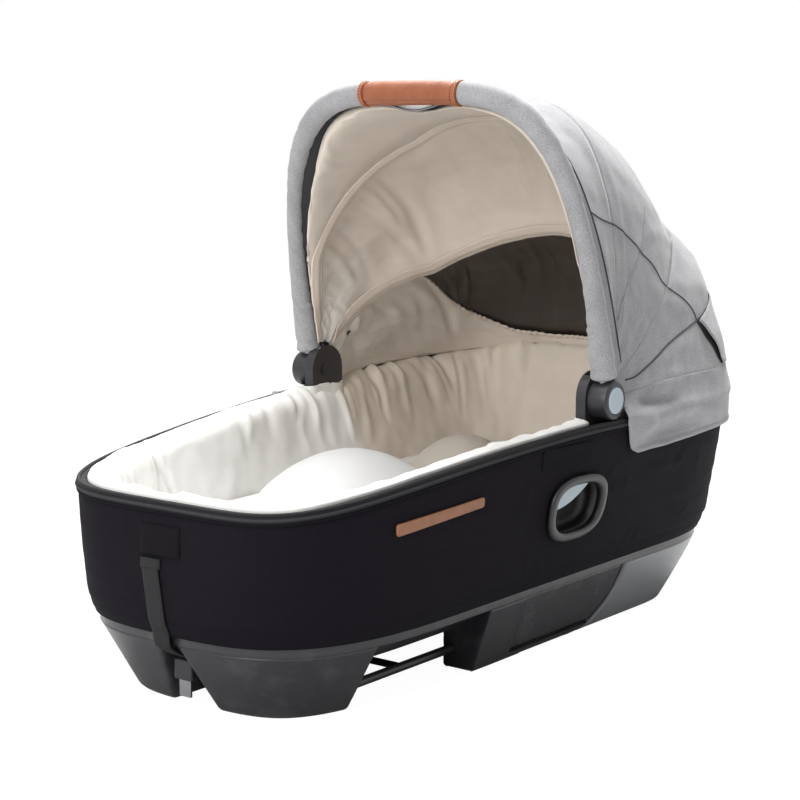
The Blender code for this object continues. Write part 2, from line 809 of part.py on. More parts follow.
lug_reach = lug_seat()
for hand, side in sides:
    lug = plate("hinge_lug_" + hand, lug_outline(), lug_inner, lug_outer, side, hinge_plastic)
    foot_y = sorted((side * (lug_inner + lug_foot_step), side * lug_reach))
    low = (lug_centre_x - lug_half + lug_foot_margin, foot_y[0], lug_low_z + lug_foot_margin)
    high = (lug_centre_x + lug_half - lug_foot_margin, foot_y[1], lug_foot_top_z)
    cut(lug, block("lug_foot_" + hand, low, high, None, cutters), "UNION")
    bore_ends = (lug_outer + bore_overrun, lug_inner - bore_overrun)
    bore = ((0, bore_ends[0]), (bore_radius, bore_ends[0]), (bore_radius, bore_ends[1]), (0, bore_ends[1]))
    cut(lug, turned("lug_bore_" + hand, bore, None, side, cutters))
    slot_y = sorted((side * (lug_inner + lug_cheek), side * (lug_outer - lug_cheek)))
    low = (hinge_x - eye_radius - eye_room, slot_y[0], hinge_z - eye_radius - eye_room)
    high = (lug_centre_x + lug_half + bore_overrun, slot_y[1], lug_top_z + bore_overrun)
    cut(lug, block("lug_slot_" + hand, low, high, None, cutters))
    slot_y = sorted((side * (lug_outer - lug_cheek), side * (lug_outer + bore_overrun)))
    low = (low[0], slot_y[0], hinge_z + cheek_rise)
    high = (high[0], slot_y[1], high[2])
    cut(lug, block("lug_step_" + hand, low, high, None, cutters))
    low = (hinge_x + cheek_rise, low[1], hinge_z - cheek_drop)
    cut(lug, block("lug_head_step_" + hand, low, high, None, cutters))
    pocket_y = sorted((side * (lug_inner - clearance), side * (lug_reach + pocket_overrun)))
    low = (lug_centre_x - lug_half - clearance, pocket_y[0], lug_low_z - clearance)
    high = (lug_centre_x + lug_half + clearance, pocket_y[1], lug_top_z)
    cut(liner, block("lug_pocket_" + hand, low, high, None, cutters))

# Hinge pins with a head at the inner end
slot_middle = (lug_inner + lug_outer) / 2
mid_eye_y = slot_middle + (eye_width + clearance) / 2
rear_eye_y = slot_middle - (eye_width + clearance) / 2
pin_stub = 0.0081
pin_end = hub_inner + hub_floor + pin_stub
pin_head_y = lug_inner - clearance
pin_head_radius = 0.0072
pin_head_thickness = 0.0020
pin_head_end = pin_head_y - pin_head_thickness
pin_profile = (
    (0, pin_end), (pin_radius, pin_end), (pin_radius, pin_head_y),
    (pin_head_radius, pin_head_y), (pin_head_radius, pin_head_end), (0, pin_head_end),
)
for hand, side in sides:
    turned("hinge_pin_" + hand, pin_profile, steel, side)

# Hubs on the bow's ends, each with a sprung release button
button_proud = 0.0015
button_depth = 0.0080
button_travel = 0.0040
button_round = 0.0012
button_face_wall = 0.0030
hub_inner_round = 0.0010
hub_outer_round = 0.0015
spring_wall = 0.0012
cavity_y = hub_inner + hub_floor
button_low = hub_outer + button_proud - button_depth
spring_low = cavity_y + clearance
spring_outer_radius = 0.0120
tube_radius = 0.0060
tube_foot = 0.0172


def arch(half, height, power_y, power_h, low, count, leg=0.0):
    """Points (y, height over the hinge) of a superellipse bow on straight legs, near leg to far leg."""
    start = math.asin((max(low - leg, 0) / (height - leg)) ** (power_h / 2))
    turn = np.linspace(start, math.pi - start, count)
    y = -half * np.sign(np.cos(turn)) * np.abs(np.cos(turn)) ** (2 / power_y)
    h = leg + (height - leg) * np.abs(np.sin(turn)) ** (2 / power_h)
    path = np.stack([y, h], 1)
    if low < leg:
        path = np.concatenate([[(-half, low)], path, [(half, low)]])
    return path


def even_arch(half, height, power_y, power_h, low, count, leg=0.0):
    return spread(arch(half, height, power_y, power_h, low, 241, leg), count)


def leaning(y, h, angle, shift=0.0):
    """A point of the plane that leans by an angle about the hinge axis, moved along that plane's normal."""
    turn = math.radians(angle)
    across = Vector((math.sin(turn), 0, math.cos(turn)))
    return axis_point + across * h + Vector((0, y, 0)) + Vector((math.cos(turn), 0, -math.sin(turn))) * shift


def pipe_rings(path, angle, out_radius, shift_radius, count):
    """Rings round a path in a leaning plane, as ellipses in the path's outward and sideways directions."""
    along = np.gradient(path, axis=0)
    along /= np.linalg.norm(along, axis=1, keepdims=True)
    rings = []
    for (y, h), (ty, th), reach in zip(path, along, np.broadcast_to(shift_radius, len(path))):
        ring = []
        for k in range(count):
            turn = 2 * math.pi * k / count
            out = out_radius * math.cos(turn)
            ring.append(leaning(y - th * out, h + ty * out, angle, reach * math.sin(turn)))
        rings.append(ring)
    return rings


bow_height = 0.3497
bow_leg = 0.0230
bow_power_y_share = 4.06
bow_power_h_share = 2.85
bow_tube_path = even_arch(bow_half, bow_height, bow_power_y_share, bow_power_h_share, tube_foot, 27, bow_leg)
loft("bow_tube", pipe_rings(bow_tube_path, bow_lean_deg, tube_radius, tube_radius, 8), steel)
socket_radius = tube_radius + clearance
socket_top = 0.033
socket_rings = [
    [leaning(-bow_half + socket_radius * math.cos(a), h, bow_lean_deg, socket_radius * math.sin(a))
     for a in np.linspace(0, 2 * math.pi, 13)[:-1]]
    for h in (tube_foot - clearance, socket_top)
]
button_face = hub_outer + button_proud
button_back = button_face - button_face_wall
hub_profile = (
    (bore_radius, cavity_y), (button_radius + clearance, cavity_y), (button_radius + clearance, hub_outer),
    (hub_radius - hub_outer_round, hub_outer), (hub_radius, hub_outer - hub_outer_round),
    (hub_radius, hub_inner + hub_inner_round), (hub_radius - hub_inner_round, hub_inner),
    (bore_radius, hub_inner),
)
button_profile = (
    (0, button_face), (button_radius - button_round, button_face),
    (button_radius, button_face - button_round),
    (button_radius, button_low), (button_radius - spring_wall, button_low),
    (button_radius - spring_wall, button_back), (0, button_back),
)
spring_inner_radius = spring_outer_radius - spring_wall
spring_profile = (
    (spring_inner_radius, button_back - clearance), (spring_outer_radius, button_back - clearance),
    (spring_outer_radius, spring_low), (spring_inner_radius, spring_low),
)
for hand, side in sides:
    hub = turned("bow_hub_" + hand, hub_profile, hinge_plastic, side)
    rings = [[Vector((p[0], -side * p[1], p[2])) for p in ring] for ring in socket_rings]
    cut(hub, loft("tube_socket_" + hand, rings, None, collection=cutters))
    turned("hinge_button_" + hand, button_profile, button_plastic, side)
    turned("hub_spring_" + hand, spring_profile, steel, side, steps=16)

# The bow's fabric sleeves and its leather grip with two bands
sleeve_foot = 0.0240
sleeve_out = 0.0100
sleeve_across = 0.0140
sleeve_flare = 0.0100
sleeve_flare_run = 0.2500
sleeve_flare_power_share = 1.1
grip_half = 0.0625
grip_radius = 0.0142
band_end = 0.0700
band_raise = 0.0006
sleeve_ease = 0.0020
hollow_radius = tube_radius + sleeve_ease


def flare_share(h):
    """How much of the sleeve's extra width is left at a height over the hinge."""
    return max(0, 1 - max(h - sleeve_foot, 0) / sleeve_flare_run) ** sleeve_flare_power_share


def bow_part(name, keep_point, out, across, count, sides_count, material, flare=0.0):
    """A hollow sleeve round the stretch of the bow's tube that keep_point accepts."""
    path = arch(bow_half, bow_height, bow_power_y_share, bow_power_h_share, sleeve_foot, 1201, bow_leg)
    path = path[[bool(keep_point(y)) for y, h in path]]
    path = spread(path, count)
    wide = [across + flare * flare_share(h) for y, h in path]
    outer = pipe_rings(path, bow_lean_deg, out, wide, sides_count)
    inner = pipe_rings(path, bow_lean_deg, hollow_radius, hollow_radius, sides_count)
    return loft(name, outer + inner[::-1], material, loop=True)


bow_part("handle_grip", lambda y: abs(y) < grip_half, grip_radius, grip_radius, 6, 14, tan_leather)
for hand, side in sides:
    bow_part("grip_band_" + hand, lambda y: grip_half + clearance < y * side < band_end,
             grip_radius + band_raise, grip_radius + band_raise, 2, 14, tan_leather)
    bow_part("bow_sleeve_" + hand, lambda y: y * side > band_end + clearance,
             sleeve_out, sleeve_across, 14, 8, canopy_fabric, flare=sleeve_flare)

# The two inner ribs: wires that start in eyes on the hinge pins
rib_radius = 0.0017
rib_inset = 0.0130
rib_half = bow_half - rib_inset
rib_start_share = 0.7
rib_leg_h = 0.018
rib_out_h = 0.029
rib_power_y_share = 3.2
rib_power_h_share = 2.6
mid_rib_height = 0.3368
rear_rib_height = 0.3458


def make_rib(name, angle, height, eye_y):
    upper = even_arch(rib_half, height, rib_power_y_share, rib_power_h_share, rib_out_h, 23)
    legs = [(-eye_y, eye_radius * rib_start_share), (-eye_y, rib_leg_h)]
    path = np.array(legs + [tuple(p) for p in upper] + [(-y, h) for y, h in legs[::-1]])
    wire = loft(name, pipe_rings(path, angle, rib_radius, rib_radius, 6), hinge_plastic)
    for hand, side in sides:
        low, high = eye_y - eye_width / 2, eye_y + eye_width / 2
        profile = ((bore_radius, high), (eye_radius, high), (eye_radius, low), (bore_radius, low))
        cut(wire, turned(name + "_eye_" + hand, profile, None, side, cutters), "UNION")
    return wire


make_rib("mid_rib", mid_rib_deg, mid_rib_height, mid_eye_y)
make_rib("rear_rib", rear_rib_deg, rear_rib_height, rear_eye_y)


def shell(name, outer, inner, material, split=False):
    """A thin curved sheet from two grids of points. Rows run along the sheet, columns across it."""
    return loft(name, [list(a) + list(b)[::-1] for a, b in zip(outer, inner)], material, split=split)


# The canopy: three gores between bow, ribs and skirt
cloth = 0.0020
gore_inset = 0.0020
gore_half = bow_half - gore_inset
gore_power_y_share = 3.2
gore_power_h_share = 2.6
front_gore_low = 0.032
mid_gore_low = 0.034
mid_gore_flare = 0.0140
rear_gore_low = 0.030
gore_points = 25
front_inset = 0.004
mid_height = mid_rib_height + rib_radius + clearance + cloth
rear_height = rear_rib_height + rib_radius + clearance + cloth
crown_swell = 0.007
front_shift = sleeve_across + clearance
seam_gap_deg = math.degrees(clearance / mid_rib_height) / 2
front_gore_steps = 3
mid_gore_steps = 5
rear_gore_steps = 5


def canopy_line(angle, half, height, power_y, power_h, low, shift, flare, inset=0.0, count=gore_points):
    """One cross line of the canopy, from the near leg to the far leg."""
    path = even_arch(half - inset, height - inset, power_y, power_h, low, count)
    return [leaning(y, h, angle, shift + flare * flare_share(h)) for y, h in path]


def gore(name, start, end, steps, crown, material):
    """The sheet between two canopy lines. Between them the height swells by the crown."""
    grids = []
    for inset in (0, cloth):
        rows = []
        for k in range(steps + 1):
            share = k / steps
            values = [a + (b - a) * share for a, b in zip(start, end)]
            values[2] += crown * math.sin(math.pi * share)
            rows.append(canopy_line(*values, inset=inset))
        grids.append(list(zip(*rows)))
    return shell(name, grids[0], grids[1], material)


bow_powers = (bow_power_y_share, bow_power_h_share)
gore_powers = (gore_power_y_share, gore_power_h_share)
front_line = (bow_lean_deg, bow_half, bow_height - front_inset, *bow_powers, front_gore_low, front_shift,
              sleeve_flare)
mid_line = (mid_rib_deg, gore_half, mid_height, *gore_powers, mid_gore_low, 0, mid_gore_flare)
rear_line = (rear_rib_deg, gore_half, rear_height, *gore_powers, rear_gore_low, 0, 0)


def beside(line, turn):
    """The same line moved off its rib by half a seam gap."""
    return (line[0] + turn * seam_gap_deg, *line[1:])


gore("canopy_front", front_line, beside(mid_line, -1), front_gore_steps, 0, canopy_fabric)
gore("canopy_middle", beside(mid_line, 1), beside(rear_line, -1), mid_gore_steps, crown_swell, canopy_fabric)

# The skirt round the head end
skirt_hem_after_hinge = 0.052
skirt_low_after_hinge = 0.028
skirt_top_after_hinge = 0.028
skirt_hem_x = hinge_x + skirt_hem_after_hinge
skirt_low_x = hinge_x + skirt_low_after_hinge
skirt_top_x = hinge_x + skirt_top_after_hinge
skirt_front_step = 0.0120
skirt_rim_step = 0.0040
skirt_hem_z = 0.2210
skirt_hem_head_z = 0.2330
skirt_hem_lift_share = 0.2
skirt_over_rim = 0.0020
skirt_top_z = 0.3000
skirt_top_front_z = 0.2790
skirt_out = 0.0034
skirt_hem_out = 0.0060
skirt_hem_draw = 0.0010
skirt_top_inset = 0.0040
skirt_front_inset = 0.0005
skirt_front_half = bow_half - skirt_front_inset
skirt_side_share = 0.8
skirt_ease = 0.110
skirt_columns = 29
skirt_thickness = 0.0015
skirt_flare = 0.0040


def skirt_column(share):
    """Outer points of the skirt from hem to top, at a share of the way round the head end."""
    around = 1 - abs(2 * share - 1)
    hem_z = skirt_hem_z + (skirt_hem_head_z - skirt_hem_z) * around
    fold_z = hem_z + (rim_head_z - hem_z) * skirt_hem_lift_share
    rows = (
        (skirt_hem_x, hem_z, skirt_hem_out),
        (skirt_low_x + skirt_front_step, fold_z, skirt_hem_out - skirt_hem_draw),
        (skirt_low_x, rim_head_z - band_height, skirt_out),
        (skirt_low_x - skirt_rim_step, rim_head_z + skirt_over_rim, skirt_out),
    )
    points = []
    for start_x, z, out in rows:
        first, last = station_at(start_x, -1), station_at(start_x, 1)
        u = first + (last - first) * share
        points.append(skin(u, z, out + skirt_flare * around * min(1, 2 * around)))
    first, last = station_at(skirt_top_x, -1), station_at(skirt_top_x, 1)
    u = first + (last - first) * share
    spot = skin(u, rim_head_z, skirt_flare * around - skirt_top_inset)
    ease = min(max((spot[0] - skirt_top_x) / skirt_ease, 0), 1)
    ease = ease * ease * (3 - 2 * ease)
    half = skirt_front_half + (abs(spot[1]) - skirt_front_half) * ease
    y = math.copysign(half, spot[1]) if abs(spot[1]) > skirt_front_half * skirt_side_share else spot[1]
    top = Vector((spot[0], y, skirt_top_front_z + (skirt_top_z - skirt_top_front_z) * ease))
    points.append(top)
    return points


inward_side_share = 0.85
inward_lean_share = 0.5


def inward(points, distance):
    """The same points moved towards the middle of the head end, level."""
    middle = Vector((hinge_x + head_run / 2, 0))
    moved = []
    for point in points:
        away = Vector((point[0], point[1])) - middle
        away[0] *= inward_lean_share if abs(point[1]) > rim_head_half * inward_side_share else 1.0
        away.normalize()
        moved.append(Vector((point[0] - away[0] * distance, point[1] - away[1] * distance, point[2])))
    return moved


skirt_shares = np.linspace(0, 1, skirt_columns)
skirt_outer = [skirt_column(share) for share in skirt_shares]
skirt_inner = [inward(column, skirt_thickness) for column in skirt_outer]
shell("canopy_skirt", skirt_outer, skirt_inner, canopy_fabric)

rear_bulge = 0.022
rear_bulge_rise = 0.7
skirt_gap = 0.0014
gore_reach = np.linspace(0, 1, gore_points)


def rear_sheet(name, low_inset, high_inset, span, width, steps, points, material):
    """A sheet of the canopy behind the rear rib, from that rib down to the skirt, bulging out on the way.
    It covers a span of the way down and a width of the way round, both as shares."""
    grids = []
    for inset in (low_inset, high_inset):
        start = np.array([tuple(p) for p in canopy_line(*beside(rear_line, 1), inset)])
        top_line = np.array([tuple(column[-1]) for column in skirt_outer])
        steps_along = np.concatenate([[0], np.cumsum(np.linalg.norm(np.diff(top_line, axis=0), axis=1))])
        wanted = gore_reach * steps_along[-1]
        end = np.stack([np.interp(wanted, steps_along, top_line[:, k]) for k in range(3)], 1)
        end[:, 2] += skirt_gap
        end = np.array([tuple(p) for p in inward([Vector(p) for p in end], inset)])
        rows = []
        for down in np.linspace(*span, steps + 1):
            row = []
            for along in np.linspace(0.5 - width / 2, 0.5 + width / 2, points):
                a = np.array([np.interp(along, gore_reach, start[:, k]) for k in range(3)])
                b = np.array([np.interp(along, gore_reach, end[:, k]) for k in range(3)])
                swell = rear_bulge * math.sin(math.pi * along) * math.sin(math.pi * down)
                row.append(Vector(a * (1 - down) + b * down + np.array((swell, 0, swell * rear_bulge_rise))))
            rows.append(row)
        grids.append(list(zip(*rows)))
    return shell(name, grids[0], grids[1], material, split=True)


rear_sheet("canopy_rear", 0, cloth, (0, 1), 1.0, rear_gore_steps, gore_points, canopy_fabric)

# The vent at the back of the canopy: mesh inside, flap outside
vent_gap = 0.0004
vent_thickness = 0.0012
mesh_first, mesh_last = 1, 4
mesh_span = (mesh_first / rear_gore_steps, mesh_last / rear_gore_steps)
flap_points = 17
mesh_points = 15
flap_width_share = (flap_points - 1) / (gore_points - 1)
mesh_width_share = (mesh_points - 1) / (gore_points - 1)
rear_sheet("vent_flap", -vent_gap - vent_thickness, -vent_gap, (0, 1), flap_width_share,
           rear_gore_steps, flap_points, canopy_fabric)
rear_sheet("vent_mesh", cloth + vent_gap, cloth + vent_gap + vent_thickness, mesh_span, mesh_width_share,
           mesh_last - mesh_first, mesh_points, mesh_fabric)

# Carrying handles in the sides: bezel, cup and release button
handle_from_hinge = 0.0494
grip_x = hinge_x - handle_from_hinge
grip_z = 0.1720
bezel_half_x = 0.0568
bezel_half_z = 0.0378
mouth_half_x = 0.0425
mouth_half_z = 0.0275
bezel_power_share = 2.5
bezel_points = 24
bezel_rise = 0.0040
cup_wall = 0.0015
cup_depth = 0.0230
cup_round = 0.0040
cup_lip = 0.0014
cup_straight_share = 0.7
hole_overrun = 0.0200


def oval(half_x, half_z, count=bezel_points):
    """A superellipse in x and z round the handle's middle."""
    points = []
    for k in range(count):
        angle = 2 * math.pi * k / count
        c, s = math.cos(angle), math.sin(angle)
        x = grip_x + half_x * math.copysign(abs(c) ** (2 / bezel_power_share), c)
        z = grip_z + half_z * math.copysign(abs(s) ** (2 / bezel_power_share), s)
        points.append((x, z))
    return points


def on_side(x, z, out, side):
    return skin(station_at(x, side, z), z, out)


def side_ring(name, sections, side, material, loop=True, collection=parts):
    """Rings of (half x, half z, out from the fabric), skinned one to the next."""
    rings = [[on_side(x, z, out, side) for x, z in oval(a, b)] for a, b, out in sections]
    return loft(name, rings, material, loop=loop, collection=collection)


def middle_size(share):
    return (
        mouth_half_x + (bezel_half_x - mouth_half_x) * share,
        mouth_half_z + (bezel_half_z - mouth_half_z) * share,
    )


bezel_seat = 0.0034
bezel_back = 0.0010
bezel_low = bezel_seat - bezel_back
bezel_width_shares = (1.0, 0.95, 0.6, 0.25, 0.0, 0.0, 0.05, 0.06)
bezel_rise_shares = (0.6, 1.0, 1.0, 0.4)
bezel_outs = [bezel_low]
bezel_outs += [bezel_seat + bezel_rise * share for share in bezel_rise_shares]
bezel_outs += [-bezel_back, -bezel_back, bezel_low]
cup_outer = (mouth_half_x + cup_wall, mouth_half_z + cup_wall)
cup_back = (cup_outer[0] - cup_round, cup_outer[1] - cup_round)
cup_shoulder = -cup_depth * cup_straight_share
cup_sections = (
    (*cup_back, -cup_depth), (*cup_outer, cup_shoulder), (*cup_outer, -cup_lip),
    (mouth_half_x, mouth_half_z, -cup_lip), (mouth_half_x, mouth_half_z, cup_shoulder),
    (cup_back[0] - cup_wall, cup_back[1] - cup_wall, cup_wall - cup_depth),
)
hole = (cup_outer[0] + clearance, cup_outer[1] + clearance)
hole_sections = ((*hole, hole_overrun), (*hole, -cup_depth - 2 * clearance))
for hand, side in sides:
    sections = [(*middle_size(share), out) for share, out in zip(bezel_width_shares, bezel_outs)]
    side_ring("handle_bezel_" + hand, sections, side, hinge_plastic)
    side_ring("handle_cup_" + hand, cup_sections, side, base_plastic, loop=False)
    hole_cutter = side_ring("handle_hole_" + hand, hole_sections, side, None, False, cutters)
    for target in (side_cover, inner_tub, liner):
        cut(target, hole_cutter)

# A press button in the upper foot-side corner of each handle
press_first, press_last = 4, 12
press_round = 0.0008
press_inner = -0.0105
press_face = -0.0035
press_land = 0.0010
press_curve_share = 2.2
for hand, side in sides:
    rings = []
    for out in (press_inner, press_face - press_land, press_face):
        shrink = clearance + (press_round if out == press_face else 0)
        upper = oval(mouth_half_x - shrink, mouth_half_z - shrink)[press_first: press_last + 1]
        lower = []
        for k in range(1, len(upper) - 1):
            share = k / (len(upper) - 1)
            x = upper[-1][0] + (upper[0][0] - upper[-1][0]) * share
            z = upper[-1][1] + (upper[0][1] - upper[-1][1]) * share ** press_curve_share
            lower.append((x, z))
        rings.append([on_side(x, z, out, side) for x, z in upper + lower])
    loft("release_button_" + hand, rings, button_plastic)


def band_on_side(name, stations, outs, side, material):
    """A flat piece lying on the fabric side, from (x, low z, high z) stations."""
    rings = []
    for x, low, high in stations:
        middle = (low + high) / 2
        low_out, high_out = outs
        ring = [on_side(x, z, low_out, side) for z in (low, middle, high)]
        ring += [on_side(x, z, high_out, side) for z in (high, middle, low)]
        rings.append(ring)
    return loft(name, rings, material)


# Leather tabs, fabric patches by the hinges and the patch on the foot end
tab_start_from_hinge = 0.3510
tab_end_from_hinge = 0.2190
tab_start_x = hinge_x - tab_start_from_hinge
tab_end_x = hinge_x - tab_end_from_hinge
tab_start_z = 0.1950
tab_end_z = 0.2050
tab_half_start = 0.0060
tab_half_end = 0.0050
tab_shares = (0, 0.02, 0.25, 0.5, 0.75, 0.98, 1)
tab_end_share = 0.55
patch_shares = (0, 0.05, 0.35, 0.65, 0.95, 1)
patch_corner = 0.0050
piece_gap = 0.0008
tab_thickness = 0.0018
patch_thickness = 0.0012
tab_outs = (piece_gap, piece_gap + tab_thickness)
patch_outs = (piece_gap, piece_gap + patch_thickness)
patch_start_from_hinge = 0.1225
patch_end_from_hinge = 0.0330
patch_start_x = hinge_x - patch_start_from_hinge
patch_end_x = hinge_x - patch_end_from_hinge
patch_low_z = 0.2225
patch_high_z = 0.2470
for hand, side in sides:
    stations = []
    for share in tab_shares:
        half = tab_half_start + (tab_half_end - tab_half_start) * share
        half *= tab_end_share if share in (0, 1) else 1.0
        z = tab_start_z + (tab_end_z - tab_start_z) * share
        stations.append((tab_start_x + (tab_end_x - tab_start_x) * share, z - half, z + half))
    band_on_side("leather_tab_" + hand, stations, tab_outs, side, tan_leather)
    stations = []
    for share in patch_shares:
        drawn = patch_corner if share in (0, 1) else 0
        x = patch_start_x + (patch_end_x - patch_start_x) * share
        stations.append((x, patch_low_z + drawn, patch_high_z - drawn))
    band_on_side("side_patch_" + hand, stations, patch_outs, side, webbing)


foot_stations = 4.0


def foot_station(y, z):
    """The station number on the foot end where the fabric passes y."""
    low, high = -foot_stations, foot_stations
    for _ in range(40):
        middle = (low + high) / 2
        if skin(middle, z, 0)[1] < y:
            low = middle
        else:
            high = middle
    return low


def on_foot(y, z, out):
    return skin(foot_station(y, z), z, out)


def foot_band(name, rows, thickness, material):
    """A flat piece lying on the foot end, from (z, middle y, half width, out from the fabric) rows."""
    rings = []
    for z, middle, half, out in rows:
        back = [on_foot(middle + half * k, z, out) for k in (-1, 0, 1)]
        front = [on_foot(middle + half * k, z, out + thickness) for k in (1, 0, -1)]
        rings.append(back + front)
    return loft(name, rings, material)


foot_patch_half = 0.0275
foot_patch_low_z = 0.1680
foot_patch_high_z = 0.1980
foot_patch_shares = (0, 0.08, 0.5, 0.92, 1)
foot_patch_end_share = 0.92
rows = []
for share in foot_patch_shares:
    half = foot_patch_half * (foot_patch_end_share if share in (0, 1) else 1)
    rows.append((foot_patch_low_z + (foot_patch_high_z - foot_patch_low_z) * share, 0, half, piece_gap))
foot_band("foot_patch", rows, patch_thickness, webbing)

# The strap that hangs from a stitched loop into the notch, with its buckle
strap_top_z = 0.1520
strap_half = 0.0115
strap_thickness = 0.0015
strap_y = 0.0120
loop_z = 0.1545
loop_height = 0.0085
loop_half = 0.0135
loop_thickness = 0.0030
strap_lip_z = 0.0745
strap_bend_reach = 0.0146
strap_bend_z = 0.0640
strap_end_reach = 0.0335
strap_end_z = 0.0535
buckle_high_z = strap_end_z - clearance
buckle_low_z = 0.0310
buckle_half = 0.0125
buckle_thickness = 0.0090
tongue_low_z = 0.0130
buckle_round = 0.0020
tongue_half = 0.0080
tongue_thickness = 0.0030
tongue_round = 0.0006
lip_out = 0.0016
strap_level_shares = (1.0, 0.71, 0.46, 0.34, 0.22, 0.10, 0)
strap_drift_share = 1.5
loop_rows = [(loop_z + loop_height * share, strap_y, loop_half, piece_gap) for share in (0, 0.5, 1)]
foot_band("strap_loop", loop_rows, loop_thickness, webbing)
hang_x = foot_x + base_foot_gap - lip_out
strap_corners = ((0, -1), (0, 1), (strap_thickness, 1), (strap_thickness, -1))
rings = []
for share in strap_level_shares:
    z = strap_lip_z + (strap_top_z - strap_lip_z) * share
    middle = strap_y * share ** strap_drift_share
    back_x = on_foot(middle, z, lip_out)[0] if z > base_z else hang_x
    rings.append([Vector((back_x - out, middle + strap_half * k, z)) for out, k in strap_corners])
slope = Vector((strap_bend_z - strap_end_z, 0, strap_end_reach - strap_bend_reach)).normalized()
bend = Vector((hang_x + strap_bend_reach, 0, strap_bend_z))
rings.append([bend - slope * out + Vector((0, strap_half * k, 0)) for out, k in strap_corners])
end_x = hang_x + strap_end_reach
rings.append([Vector((end_x - out, strap_half * k, strap_end_z)) for out, k in strap_corners])
loft("foot_strap", rings, webbing)
buckle_x = end_x - strap_thickness / 2
block("strap_buckle", (buckle_x - buckle_thickness / 2, -buckle_half, buckle_low_z),
      (buckle_x + buckle_thickness / 2, buckle_half, buckle_high_z), hinge_plastic, bevel=buckle_round)
block("strap_tongue", (buckle_x - tongue_thickness / 2, -tongue_half, tongue_low_z),
      (buckle_x + tongue_thickness / 2, tongue_half, buckle_low_z - clearance), steel, bevel=tongue_round)

# The slider of the far side's zip, with its pull
pull_from_hinge = 0.074
pull_start_x = hinge_x - pull_from_hinge
pull_length = 0.030
pull_half = 0.0035
pull_thickness = 0.0025
pull_out = -0.0050
pull_steps_shares = ((0, 0.6, 0.6), (0.2, 1, 1.6), (0.5, 0.7, 1.0), (1, 0.7, 0.8))
rings = []
for share, width_share, height_share in pull_steps_shares:
    x = pull_start_x + pull_length * share
    z = rim_height(x) + 2 * clearance
    low = [on_side(x, z, pull_out + pull_half * width_share * k, 1) for k in (-1, 1)]
    high = [point + Vector((0, 0, pull_thickness * height_share)) for point in low[::-1]]
    rings.append(low + high)
loft("zip_pull", rings, steel)
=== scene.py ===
# Looks for the carrycot: cloth, lining, pads, leather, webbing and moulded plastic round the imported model.
# Metres, +Z up, +X to the head end, +Y to the far side.
import math

import bmesh
import bpy
import numpy as np
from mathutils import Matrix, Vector


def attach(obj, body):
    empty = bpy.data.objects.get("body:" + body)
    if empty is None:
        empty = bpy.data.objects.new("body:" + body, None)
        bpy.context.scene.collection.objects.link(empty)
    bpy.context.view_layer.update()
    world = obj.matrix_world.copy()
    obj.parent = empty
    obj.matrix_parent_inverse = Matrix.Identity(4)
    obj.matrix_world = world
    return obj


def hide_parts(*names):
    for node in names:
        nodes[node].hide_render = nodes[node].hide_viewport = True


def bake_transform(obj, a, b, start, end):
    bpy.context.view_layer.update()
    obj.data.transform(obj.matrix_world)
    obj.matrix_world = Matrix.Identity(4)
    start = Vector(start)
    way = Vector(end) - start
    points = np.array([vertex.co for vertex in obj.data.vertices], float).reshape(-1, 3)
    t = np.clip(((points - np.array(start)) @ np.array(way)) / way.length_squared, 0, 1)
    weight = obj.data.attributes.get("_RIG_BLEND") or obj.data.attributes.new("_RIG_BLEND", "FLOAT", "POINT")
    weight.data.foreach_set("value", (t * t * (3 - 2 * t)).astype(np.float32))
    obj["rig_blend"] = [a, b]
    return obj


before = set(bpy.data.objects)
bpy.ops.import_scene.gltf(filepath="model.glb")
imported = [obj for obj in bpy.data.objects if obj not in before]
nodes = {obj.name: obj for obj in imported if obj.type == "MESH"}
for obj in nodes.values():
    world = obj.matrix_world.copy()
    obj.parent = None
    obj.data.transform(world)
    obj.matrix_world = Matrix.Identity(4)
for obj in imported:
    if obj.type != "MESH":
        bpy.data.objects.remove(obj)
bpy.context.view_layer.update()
hands = (("near", -1), ("far", 1))
print("frame loaded")

# The cot's own sizes, as the model has them
cot = dict(
    footX=-0.440, headX=0.440, hingeX=0.048, hingeZ=0.288, baseZ=0.0884,
    rimFootZ=0.2215, rimHingeZ=0.2640, rimHeadZ=0.2680, rimSweep=1.46,
    rimFootHalf=0.1800, rimHeadHalf=0.2325, baseHalf=0.1890,
    footRun=0.270, headRun=0.220, taperAfterHinge=0.027, bulge=0.0045, skirtProud=0.006,
    baseFootGap=0.0020, baseHeadGap=-0.0020, rimFootPower=5.0, baseFootPower=3.2, headPower=2.8,
)
footX, headX, hingeX, hingeZ, baseZ = (cot[k] for k in ("footX", "headX", "hingeX", "hingeZ", "baseZ"))


# Colour and node helpers
# A colour as it looks on screen, as linear numbers with alpha
def shade(red, green, blue):
    values = np.array([red, green, blue]) / 255
    linear = np.where(values > 0.04, ((values + 0.055) / 1.055) ** 2.4, values / 12.92)
    return (*[float(v) for v in linear], 1.0)


# An empty shader group with named sockets
def newGroup(name, inputs, outputs):
    group = bpy.data.node_groups.new(name, "ShaderNodeTree")
    for label, kind, value in inputs:
        socket = group.interface.new_socket(label, in_out="INPUT", socket_type="NodeSocket" + kind)
        socket.default_value = value
    for label, kind in outputs:
        group.interface.new_socket(label, in_out="OUTPUT", socket_type="NodeSocket" + kind)
    return group, group.nodes.new("NodeGroupInput"), group.nodes.new("NodeGroupOutput")


# A Math node fed by sockets or plain numbers
def mathNode(tree, operation, first, second=None):
    node = tree.nodes.new("ShaderNodeMath")
    node.operation = operation
    for slot, value in enumerate((first, second)):
        if value is None:
            continue
        if isinstance(value, bpy.types.NodeSocket):
            tree.links.new(value, node.inputs[slot])
        else:
            node.inputs[slot].default_value = value
    return node.outputs[0]


